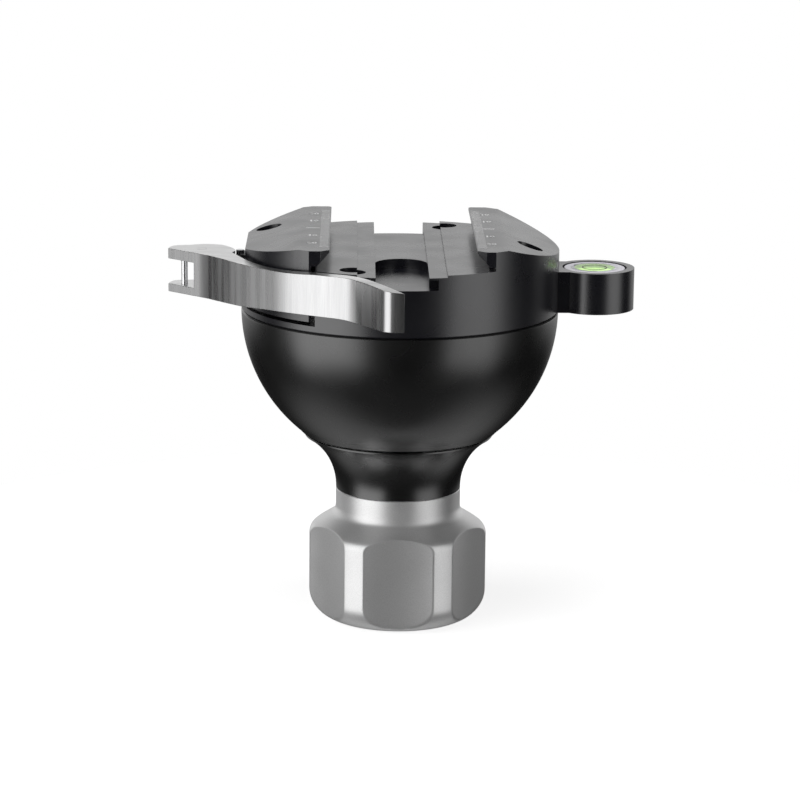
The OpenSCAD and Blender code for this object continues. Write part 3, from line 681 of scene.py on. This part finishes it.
def flute_tree():
    """Pulls each point of the turned knob in to the nearest flute's hollow, with a soft edge."""
    t = Tree("flutes")
    count = t.size("Flutes", float(FLUTES))
    floor = t.size("Floor radius", FLUTE_FLOOR * MM)
    hollow = t.size("Hollow radius", FLUTE_HOLLOW_R * MM)
    soft = t.size("Edge radius", FLUTE_EDGE_R * MM)
    position = t.add("GeometryNodeInputPosition").outputs["Position"]
    parts = t.add("ShaderNodeSeparateXYZ", Vector=position)
    x, y, z = (parts.outputs[k] for k in "XYZ")
    angle = t.maths("ADD", t.maths("ARCTAN2", y, x), math.pi / 2)
    step = t.maths("DIVIDE", 2 * math.pi, count)
    nearest = t.maths("MULTIPLY", t.maths("ROUND", t.maths("DIVIDE", angle, step)), step)
    off = t.maths("SUBTRACT", angle, nearest)
    centre = t.maths("ADD", floor, hollow)
    side = t.maths("MULTIPLY", centre, t.maths("SINE", off))
    root = t.maths(
        "SQRT",
        t.maths("SUBTRACT", t.maths("MULTIPLY", hollow, hollow), t.maths("MULTIPLY", side, side)),
    )
    limit = t.maths("SUBTRACT", t.maths("MULTIPLY", centre, t.maths("COSINE", off)), root)
    radius = t.maths("SQRT", t.maths("ADD", t.maths("MULTIPLY", x, x), t.maths("MULTIPLY", y, y)))
    fluted = t.maths("SMOOTH_MIN", radius, limit, soft)
    ratio = t.maths("DIVIDE", fluted, radius)
    new_place = t.vector(t.maths("MULTIPLY", x, ratio), t.maths("MULTIPLY", y, ratio), z)
    moved = t.add("GeometryNodeSetPosition", Geometry=t.inside.outputs["Geometry"])
    t.feed(moved.inputs["Position"], new_place)
    t.end(moved.outputs["Geometry"], SILVER)
    return t


knob_mesh = flute_tree().grown("knob_grip", lathe("knob_turned", knob_outline(), 720))
smooth_by_angle(knob_mesh, 40.0)
new_piece("knob_grip", knob_mesh, None, "knob", "silver_anodised", "knob")


# Lever


def lever_flat_y(x):
    """The CAD lever's straight front between the hub and the arm."""
    (x0, y0), (x1, y1) = LEVER_FLAT
    return y0 + (y1 - y0) * (x - x0) / (x1 - x0)


def lever_bend(x):
    """How far that front moves back, in millimetres: a crisp corner, then a slow curve."""
    first, last = LEVER_FLAT[0][0], LEVER_FLAT[1][0]
    if x <= first or x >= last:
        return 0.0
    if x < LEVER_CORNER_X:
        return LEVER_DENT * (x - first) / (LEVER_CORNER_X - first)
    t = (x - LEVER_CORNER_X) / (last - LEVER_CORNER_X)
    return (1 - t) ** 2 * (LEVER_DENT - LEVER_SWELL * t)


def shape_lever(bm):
    """Cuts the straight front into strips and moves them to the bent line."""
    broad, fine, at_front = 2.4, 1.1, 0.03
    cuts = [LEVER_CORNER_X - broad * k for k in range(1, 4)]
    cuts += [LEVER_CORNER_X + fine * k for k in range(14)]
    for x in cuts:
        everything = [*bm.verts, *bm.edges, *bm.faces]
        bmesh.ops.bisect_plane(
            bm, geom=everything, dist=1e-7, plane_co=v_mm(x, 0, 0), plane_no=(1, 0, 0)
        )
    for vert in bm.verts:
        x, y = vert.co.x / MM, vert.co.y / MM
        if LEVER_FLAT[0][0] < x < LEVER_FLAT[1][0] and abs(y - lever_flat_y(x)) < at_front:
            vert.co.y += lever_bend(x) * MM


def cam_radius(degrees):
    """The cam's radius falls evenly as the lever opens, then rises back to the full circle."""
    drop = CAM_DROP / CAM_TRAVEL
    if degrees < 0 or degrees >= CAM_RISE:
        return CAM_R
    if degrees < CAM_REST:
        return CAM_R - drop * degrees
    return CAM_R - drop * CAM_REST * (CAM_RISE - degrees) / (CAM_RISE - CAM_REST)


def slow_bend(first, last, leave, arrive, steps=16):
    """Points between two points on a curve that leaves and arrives along two unit directions."""
    first, last = Vector(first), Vector(last)
    reach = TAB_BEND_SHARE * (last - first).length
    a, b = first + leave * reach, last - arrive * reach
    out = []
    for k in range(1, steps):
        t = k / steps
        point = (1 - t) ** 3 * first + 3 * t * (1 - t) ** 2 * a
        out.append(tuple(point + 3 * t * t * (1 - t) * b + t**3 * last))
    return out


def lever_plan():
    """Plan outline that the lever's walls follow in shading, with one slow bend into the tab."""
    hub = []
    for degrees in range(-24, 177, 4):
        a, r = math.radians(degrees), cam_radius(degrees)
        hub.append((PIVOT_X + r * math.cos(a), PIVOT_Y + r * math.sin(a)))

    flat_x = [LEVER_FLAT[0][0] + 0.05, LEVER_CORNER_X]
    flat_x += [LEVER_CORNER_X + 0.55 * k for k in range(1, 28)]
    flat = [(x, lever_flat_y(x) + lever_bend(x)) for x in flat_x]

    kick_x = (ARM_OUT_R + KICK_R) * math.cos(KICK_AT)
    kick_y = (ARM_OUT_R + KICK_R) * math.sin(KICK_AT)
    start = KICK_AT + math.pi - KICK_TURN
    away = Vector((math.sin(start), -math.cos(start)))
    across = Vector((math.cos(start), math.sin(start)))
    end = []
    for along, thick in TAB_END_SHARES:
        base = Vector((kick_x, kick_y)) + across * (KICK_R + TAB_T * thick)
        end.append(tuple(base + away * (TAB_LEN * along)))

    outer = arc(0, 0, ARM_OUT_R, ARM_TOUCH, KICK_AT, 18)
    back = arc(kick_x, kick_y, KICK_R + TAB_T, start, KICK_AT + math.pi, 10)
    inner = []
    for i in range(25):
        t = i / 24
        r, a = ARM_IN_R + ARM_TAPER * t, KICK_AT + (ARM_BACK - KICK_AT) * t
        inner.append((r * math.cos(a), r * math.sin(a)))
    leave = Vector((-math.sin(KICK_AT), math.cos(KICK_AT)))
    return hub + flat + outer + slow_bend(outer[-1], end[0], leave, away) + end + back + inner


# The CAD form with rounded edges, the slight bend of its front, and a finish for each kind of face
lever_mesh = carried_over(
    "lever", "lever_arm", LEVER_EDGE, [on_outline(lever_plan())], 28.0, shape_lever, 0.9
)
lever_mesh.materials.clear()
for finish in (LEVER_STEEL, TOP_STEEL, POLISHED_AND_HIGHLIGHT):
    lever_mesh.materials.append(finish)
for face in lever_mesh.polygons:
    # The tab's polished end faces take the lighter steel, whose extra lightness is a painted
    # highlight.
    at_end = face.center.x > -2.5 * MM and face.normal.x > 0.25
    face.material_index = 2 if at_end else 1 if abs(face.normal.z) > 0.8 else 0
new_piece("lever_arm", lever_mesh, None, "lever", "brushed_steel", "lever")


# Clamp body and moving jaw: the CAD forms with small chamfers on their edges
seats = [
    on_circle(
        SCREW_CIRCLE_R * math.cos(math.radians(SCREW_ANGLE + 90 * i)),
        SCREW_CIRCLE_R * math.sin(math.radians(SCREW_ANGLE + 90 * i)),
        SCREW_SEAT_R,
        True,
    )
    for i in range(4)
]
body_walls = [on_circle(0, 0, BALL_R), on_circle(VIAL_X, 0, BOSS_R), *seats]
body_mesh = carried_over("clamp_body", "clamp_block", CLAMP_EDGE, body_walls)
new_piece("clamp_block", body_mesh, GREY, "base", "grey_anodised", "clamp_body")
jaw_walls = [on_circle(JAW_X, 0, JAW_R), *seats]
jaw_mesh = carried_over("movable_jaw", "moving_jaw_block", CLAMP_EDGE, jaw_walls)
new_piece("moving_jaw_block", jaw_mesh, GREY, "jaw", "grey_anodised", "movable_jaw")


# Scale ticks on both jaws


def tick_tree(lip_x, side):
    """Fine ticks along the lip at every millimetre and a long one in the middle."""
    t = Tree("scale_ticks")
    pitch = t.size("Pitch", TICK_PITCH * MM)
    fine_len = t.size("Fine length", TICK_LEN * MM)
    fine_w = t.size("Fine width", TICK_W * MM)
    mark_len = t.size("Middle mark length", MARK_LEN * MM)
    mark_w = t.size("Middle mark width", MARK_W * MM)
    depth = t.size("Paint thickness", PAINT_T * MM)

    def row(count, spacing, length, width, centre_x, half_span):
        line = t.add("GeometryNodeMeshLine")
        line.inputs["Count"].default_value = count
        t.feed(line.inputs["Start Location"], v_mm(centre_x, -half_span, JAW_TOP_Z))
        t.feed(line.inputs["Offset"], t.vector(0.0, spacing, 0.0))
        cube = t.add("GeometryNodeMeshCube")
        t.feed(cube.inputs["Size"], t.vector(length, width, depth))
        put = t.add("GeometryNodeInstanceOnPoints", Points=line.outputs["Mesh"])
        t.feed(put.inputs["Instance"], cube.outputs["Mesh"])
        return put.outputs["Instances"]

    join = t.add("GeometryNodeJoinGeometry")
    half_scale = TICK_PITCH * (TICKS - 1) / 2
    fine = row(TICKS, pitch, fine_len, fine_w, side * (lip_x + TICK_INSET), half_scale)
    middle = row(1, pitch, mark_len, mark_w, side * MARK_X, 0.0)
    for part in (fine, middle):
        t.tree.links.new(part, join.inputs["Geometry"])
    t.end(join.outputs["Geometry"], TICK_PAINT)
    return t


# Strokes of the scale's numbers: (x, y, width, height) in shares of a digit's box
STROKES = {
    "0": [(0, 1, 1, 0), (0, -1, 1, 0), (-1, 0, 0, 1), (1, 0, 0, 1)],
    "1": [(0, 0, 0, 1)],
    "2": [(0, 1, 1, 0), (0, 0, 1, 0), (0, -1, 1, 0), (1, 0.5, 0, 0.5), (-1, -0.5, 0, 0.5)],
}


def scale_piece(name, lip_x, side, body):
    """The ticks and the plain numbers of one jaw's scale as one thin painted piece."""
    bm = bmesh.new()
    bm.from_mesh(tick_tree(lip_x, side).grown(name + "_ticks"))
    for value in (-20, -10, 10, 20):
        for k, digit in enumerate(str(abs(value))):
            middle = side * MARK_X + (k - 0.5) * DIGIT_PITCH
            for x, y, w, h in STROKES[digit]:
                width = 2 * (w * DIGIT_HALF_W + DIGIT_STROKE)
                height = 2 * (h * DIGIT_HALF_H + DIGIT_STROKE)
                place = v_mm(middle + x * DIGIT_HALF_W, value + y * DIGIT_HALF_H, JAW_TOP_Z)
                size = Matrix.Diagonal((width * MM, height * MM, PAINT_T * MM, 1.0))
                bmesh.ops.create_cube(bm, size=1.0, matrix=Matrix.Translation(place) @ size)
    mesh = bpy.data.meshes.new(name)
    bm.to_mesh(mesh)
    bm.free()
    new_piece(name, mesh, TICK_PAINT, body, "white_plastic")


scale_piece("scale_fixed_jaw", FIXED_LIP_X, 1, "base")
scale_piece("scale_moving_jaw", MOVING_LIP_X, -1, "jaw")


# Clamp screws


def screw_tree():
    """Socket screws on the circle of seats, one of them on the lower seat under the jaw."""
    t = Tree("socket_screws")
    circle = t.size("Circle radius", SCREW_CIRCLE_R * MM)
    first = t.size("First angle", math.radians(SCREW_ANGLE))
    head_r = t.size("Head radius", SCREW_HEAD_R * MM)
    head_h = t.size("Head height", SCREW_HEAD_H * MM)
    edge = t.size("Head edge", SCREW_HEAD_EDGE * MM)
    shank_r = t.size("Shank radius", SCREW_R * MM)
    shank_h = t.size("Shank length below the seam", SCREW_DEPTH * MM)

    def tube(radius, height, centre_z, sides=48):
        cylinder = t.add("GeometryNodeMeshCylinder", Radius=radius, Depth=height)
        cylinder.inputs["Vertices"].default_value = sides
        moved = t.add("GeometryNodeTransform", Geometry=cylinder.outputs["Mesh"])
        t.feed(moved.inputs["Translation"], t.vector(0.0, 0.0, centre_z))
        return moved.outputs["Geometry"]

    def screw(seat):
        low = t.maths("SUBTRACT", head_h, edge)
        head = tube(head_r, low, t.maths("ADD", seat, t.maths("MULTIPLY", low, 0.5)))
        cone = t.add("GeometryNodeMeshCone")
        cone.inputs["Vertices"].default_value = 48
        t.feed(cone.inputs["Radius Bottom"], head_r)
        t.feed(cone.inputs["Radius Top"], t.maths("SUBTRACT", head_r, edge))
        t.feed(cone.inputs["Depth"], edge)
        top = t.add("GeometryNodeTransform", Geometry=cone.outputs["Mesh"])
        t.feed(top.inputs["Translation"], t.vector(0.0, 0.0, t.maths("ADD", seat, low)))
        reach = t.maths("ADD", shank_h, seat)
        middle = t.maths("MULTIPLY", t.maths("SUBTRACT", seat, shank_h), 0.5)
        shank = tube(shank_r, reach, middle)
        socket = tube(
            t.maths("MULTIPLY", head_r, 0.5), head_h, t.maths("ADD", seat, head_h), sides=6
        )
        solid = t.add("GeometryNodeMeshBoolean", "UNION")
        for part in (head, top.outputs["Geometry"], shank):
            t.tree.links.new(part, solid.inputs["Mesh 2"])
        cut = t.add("GeometryNodeMeshBoolean", "DIFFERENCE")
        t.tree.links.new(solid.outputs["Mesh"], cut.inputs["Mesh 1"])
        t.tree.links.new(socket, cut.inputs["Mesh 2"])
        return cut.outputs["Mesh"]

    upper, lower = screw(SCREW_SEAT_Z * MM), screw(BAY_SEAT_Z * MM)
    ring = t.add("GeometryNodeMeshCircle", Radius=circle)
    ring.inputs["Vertices"].default_value = 4
    turned = t.add("GeometryNodeTransform", Geometry=ring.outputs["Mesh"])
    t.feed(turned.inputs["Rotation"], t.vector(0.0, 0.0, first))
    index = t.add("GeometryNodeInputIndex").outputs["Index"]
    in_bay = t.add("FunctionNodeCompare")
    in_bay.data_type = "INT"
    in_bay.operation = "EQUAL"
    t.feed(in_bay.inputs[2], index)
    in_bay.inputs[3].default_value = BAY_SCREW
    parts = t.add("GeometryNodeSeparateGeometry", Geometry=turned.outputs["Geometry"])
    parts.domain = "POINT"
    t.feed(parts.inputs["Selection"], in_bay.outputs["Result"])
    join = t.add("GeometryNodeJoinGeometry")
    for points, screw_mesh in (
        (parts.outputs["Selection"], lower),
        (parts.outputs["Inverted"], upper),
    ):
        put = t.add("GeometryNodeInstanceOnPoints", Points=points, Instance=screw_mesh)
        t.tree.links.new(put.outputs["Instances"], join.inputs["Geometry"])
    t.end(join.outputs["Geometry"], DARK_STEEL)
    return t


screws_mesh = screw_tree().grown("socket_screws")
smooth_by_angle(screws_mesh)
new_piece("socket_screws", screws_mesh, None, "base", "dark_steel", "clamp_screws")


# Jaw springs


def spring_tree():
    """Two coil springs round the guide pins, each a spiral with a round wire."""
    t = Tree("coil_springs")
    coil_r = t.size("Coil radius", SPRING_R * MM)
    wire_r = t.size("Wire radius", SPRING_WIRE_R * MM)
    free_length = SPRING_OUT_X - SPRING_IN_X - 2 * SPRING_WIRE_R - 2 * SPRING_CLEARANCE
    length = t.size("Length", free_length * MM)
    turns = t.size("Turns", float(SPRING_TURNS))
    spiral = t.add("GeometryNodeCurveSpiral", Rotations=turns, Height=length)
    t.feed(spiral.inputs["Start Radius"], coil_r)
    t.feed(spiral.inputs["End Radius"], coil_r)
    spiral.inputs["Resolution"].default_value = 20
    wire = t.add("GeometryNodeCurvePrimitiveCircle", Radius=wire_r)
    wire.inputs["Resolution"].default_value = 10
    coil = t.add("GeometryNodeCurveToMesh", Curve=spiral.outputs["Curve"])
    t.feed(coil.inputs["Profile Curve"], wire.outputs["Curve"])
    coil.inputs["Fill Caps"].default_value = True
    laid = t.add("GeometryNodeTransform", Geometry=coil.outputs["Mesh"])
    laid.inputs["Rotation"].default_value = (0.0, -math.pi / 2, 0.0)
    line = t.add("GeometryNodeMeshLine")
    line.inputs["Count"].default_value = 2
    start_x = -SPRING_IN_X - SPRING_WIRE_R - SPRING_CLEARANCE
    t.feed(line.inputs["Start Location"], v_mm(start_x, -GUIDE_Y, GUIDE_Z))
    t.feed(line.inputs["Offset"], v_mm(0, 2 * GUIDE_Y, 0))
    put = t.add("GeometryNodeInstanceOnPoints", Points=line.outputs["Mesh"])
    t.feed(put.inputs["Instance"], laid.outputs["Geometry"])
    t.end(put.outputs["Instances"], STEEL)
    return t


springs_mesh = spring_tree().grown("coil_springs")
springs_mesh.shade_smooth()
new_piece("coil_springs", springs_mesh, None, "jaw", "steel", "jaw_springs")


# Bubble level


def ring_outline(outer, inner, low, high):
    return [(inner, low), (outer, low), (outer, high), (inner, high)]


def vial_piece(name, outline, material, slot, *nodes):
    mesh = lathe(name, outline, 128)
    mesh.transform(Matrix.Translation(v_mm(VIAL_X, 0, 0)))
    return new_piece(name, mesh, material, "base", slot, *nodes)


def vial_cup_outline():
    well_z = VIAL_SEAT_Z + VIAL_FLOOR_T
    corners = [(0, VIAL_SEAT_Z), (VIAL_R, VIAL_SEAT_Z), (VIAL_R, VIAL_TOP_Z)]
    corners += [(VIAL_WELL_R, VIAL_TOP_Z), (VIAL_WELL_R, well_z), (0, well_z)]
    return rounded(corners, [0, 0.2, 0.2, 0.15, 0, 0])


vial_piece("vial_ring", vial_cup_outline(), WHITE_PLASTIC, "white_plastic", "vial_cup")
face_ring = ring_outline(
    VIAL_WELL_R - FACE_RING_CLEARANCE, FACE_RING_IN_R, VIAL_TOP_Z - FACE_RING_T, VIAL_TOP_Z
)
vial_piece("vial_face_ring", face_ring, WHITE_PLASTIC, "white_plastic")
target = ring_outline(
    TARGET_OUT_R, TARGET_IN_R, VIAL_TOP_Z - TARGET_DEPTH, VIAL_TOP_Z + TARGET_PROUD
)
vial_piece("target_ring", target, DARK_STEEL, "dark_steel")


# Finishes of the pieces that keep their CAD mesh
CAD_FINISHES = {
    "vial_fluid": FLUID,
    "vial_bubble": BUBBLE,
    "vial_lens": LENS,
    "tie_stud": STEEL,
    "cup_liner": LINER,
    "thrust_washer": BRONZE,
    "knob_nut": STEEL,
    "knob_cap": SILVER,
    "stop_washer": STEEL,
    "stop_screw": STEEL,
    "guide_pins": DARK_STEEL,
    "draw_bar": STEEL,
    "draw_bar_anchor": STEEL,
    "thrust_pad": DARK_STEEL,
    "follower_pins": STEEL,
    "lever_pivot_pin": TOP_STEEL,
    "lever_stop_pin": POLISHED_AND_HIGHLIGHT,
}
for node, material in CAD_FINISHES.items():
    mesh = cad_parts[node].data
    mesh.materials.clear()
    mesh.materials.append(material)


# Floor, light and camera, with sizes in metres
FLOOR_R = 0.16
FLOOR_GAP = 0.02 * MM
TOP_LIGHT_SIDE = 0.5
TOP_LIGHT_PLACE = (-0.05, -0.12, 0.7)
TOP_LIGHT_POWER = 2.6

# Soft boxes by their side angle in degrees from the camera: fade in, full, full, fade out, strength
LEFT_BOX = (-97, -73, -38, -20, 1.7)
RIGHT_BOX = (26, 44, 66, 88, 1.05)

# The same by the height of the direction, as the z of a unit vector
BOX_HEIGHT = (-0.66, -0.42, 0.60, 0.85)
BACK_HEIGHT = (-0.35, -0.05, 0.36, 0.62)

# Pale wall behind by the direction's y, and weak light from below: fade in, full, strength
BACK_EDGE = (0.3, 0.75, 0.9)
BELOW_SIDES = (40, 120, 0.4)
BELOW_HEIGHT = (0.52, 0.88)
BELOW_FRONT = 0.05
FRONT_FILL = 0.012

CAMERA_PLACE = v_mm(-10.993, -704.205, 141.436)
CAMERA_TARGET = v_mm(0.275, 0.0, -22.718)
CAMERA_ROLL = 0.0098
LENS_MM = 136.32


def floor_disc():
    """A pale floor that only the camera sees, so it sends no light back to the dark parts."""
    bm = bmesh.new()
    bmesh.ops.create_circle(bm, cap_ends=True, radius=FLOOR_R, segments=96)
    mesh = bpy.data.meshes.new("floor")
    bm.to_mesh(mesh)
    bm.free()
    floor = bpy.data.objects.new("floor", mesh)
    floor.location.z = KNOB_FOOT_Z * MM - FLOOR_GAP
    bpy.context.scene.collection.objects.link(floor)
    mat = bpy.data.materials.new("floor_white")
    mat.use_nodes = True
    shader = mat.node_tree.nodes["Principled BSDF"]
    shader.inputs["Base Color"].default_value = (0.55, 0.55, 0.55, 1)
    shader.inputs["Roughness"].default_value = 0.9
    shader.inputs["Specular IOR Level"].default_value = 0.0
    shader.inputs["Emission Color"].default_value = (1, 1, 1, 1)
    shader.inputs["Emission Strength"].default_value = 0.78
    mesh.materials.append(mat)
    floor.visible_glossy = floor.visible_diffuse = floor.visible_shadow = False


def top_light():
    """A soft light above for the matt parts and the contact shadow; it isn't mirrored."""
    light = bpy.data.lights.new("top_light", "AREA")
    light.shape = "RECTANGLE"
    light.size = light.size_y = TOP_LIGHT_SIDE
    light.energy = TOP_LIGHT_POWER
    obj = bpy.data.objects.new("top_light", light)
    obj.location = TOP_LIGHT_PLACE
    obj.rotation_euler = (-obj.location).to_track_quat("-Z", "Y").to_euler()
    obj.visible_camera = obj.visible_glossy = False
    bpy.context.scene.collection.objects.link(obj)


def world_light():
    """Two tall soft boxes and a pale back wall as directions of the world; white to the camera."""
    world = bpy.data.worlds.new("studio")
    bpy.context.scene.world = world
    world.use_nodes = True
    tree = world.node_tree
    tree.nodes.clear()

    def maths(operation, *values):
        node = tree.nodes.new("ShaderNodeMath")
        node.operation = operation
        for i, value in enumerate(values):
            if isinstance(value, bpy.types.NodeSocket):
                tree.links.new(value, node.inputs[i])
            else:
                node.inputs[i].default_value = value
        return node.outputs["Value"]

    def rise(value, low, high, top=1.0):
        node = tree.nodes.new("ShaderNodeMapRange")
        node.interpolation_type = "SMOOTHSTEP"
        ends = {"From Min": low, "From Max": high, "To Min": 0, "To Max": top}
        for socket, number in ends.items():
            node.inputs[socket].default_value = number
        tree.links.new(value, node.inputs["Value"])
        return node.outputs["Result"]

    def band(value, a, b, c, d, top=1.0):
        return maths("MULTIPLY", rise(value, a, b, top), maths("SUBTRACT", 1.0, rise(value, c, d)))

    coords = tree.nodes.new("ShaderNodeTexCoord")
    parts = tree.nodes.new("ShaderNodeSeparateXYZ")
    tree.links.new(coords.outputs["Generated"], parts.inputs["Vector"])
    x, y, z = (parts.outputs[k] for k in "XYZ")
    side = maths("DEGREES", maths("ARCTAN2", x, maths("MULTIPLY", y, -1.0)))
    boxes = maths("ADD", band(side, *LEFT_BOX), band(side, *RIGHT_BOX))
    boxes = maths("MULTIPLY", boxes, band(z, *BOX_HEIGHT))
    back = maths("MULTIPLY", rise(y, *BACK_EDGE), band(z, *BACK_HEIGHT))
    below = maths("ADD", rise(maths("ABSOLUTE", side), *BELOW_SIDES), BELOW_FRONT)
    below = maths("MULTIPLY", below, rise(maths("MULTIPLY", z, -1.0), *BELOW_HEIGHT))
    light = maths("ADD", maths("ADD", boxes, back), maths("ADD", below, FRONT_FILL))
    soft = tree.nodes.new("ShaderNodeBackground")
    tree.links.new(light, soft.inputs["Strength"])
    white = tree.nodes.new("ShaderNodeBackground")
    for node in (soft, white):
        node.inputs["Color"].default_value = (1, 1, 1, 1)
    path = tree.nodes.new("ShaderNodeLightPath")
    mix = tree.nodes.new("ShaderNodeMixShader")
    tree.links.new(path.outputs["Is Camera Ray"], mix.inputs["Fac"])
    tree.links.new(soft.outputs["Background"], mix.inputs[1])
    tree.links.new(white.outputs["Background"], mix.inputs[2])
    out = tree.nodes.new("ShaderNodeOutputWorld")
    tree.links.new(mix.outputs["Shader"], out.inputs["Surface"])


def place_camera():
    camera = bpy.data.objects.new("camera", bpy.data.cameras.new("camera"))
    bpy.context.scene.collection.objects.link(camera)
    camera.data.sensor_width = 36.0
    camera.data.sensor_fit = "HORIZONTAL"
    camera.data.lens = LENS_MM
    back = (CAMERA_PLACE - CAMERA_TARGET).normalized()
    right = (-back).cross(Vector((0, 0, 1))).normalized()
    up = right.cross(-back)
    c, s = math.cos(CAMERA_ROLL), math.sin(CAMERA_ROLL)
    axes = Matrix((c * right + s * up, c * up - s * right, back)).transposed()
    camera.matrix_world = Matrix.Translation(CAMERA_PLACE) @ axes.to_4x4()
    bpy.context.scene.camera = camera


floor_disc()
top_light()
world_light()
place_camera()
bpy.context.scene.view_settings.view_transform = "Standard"
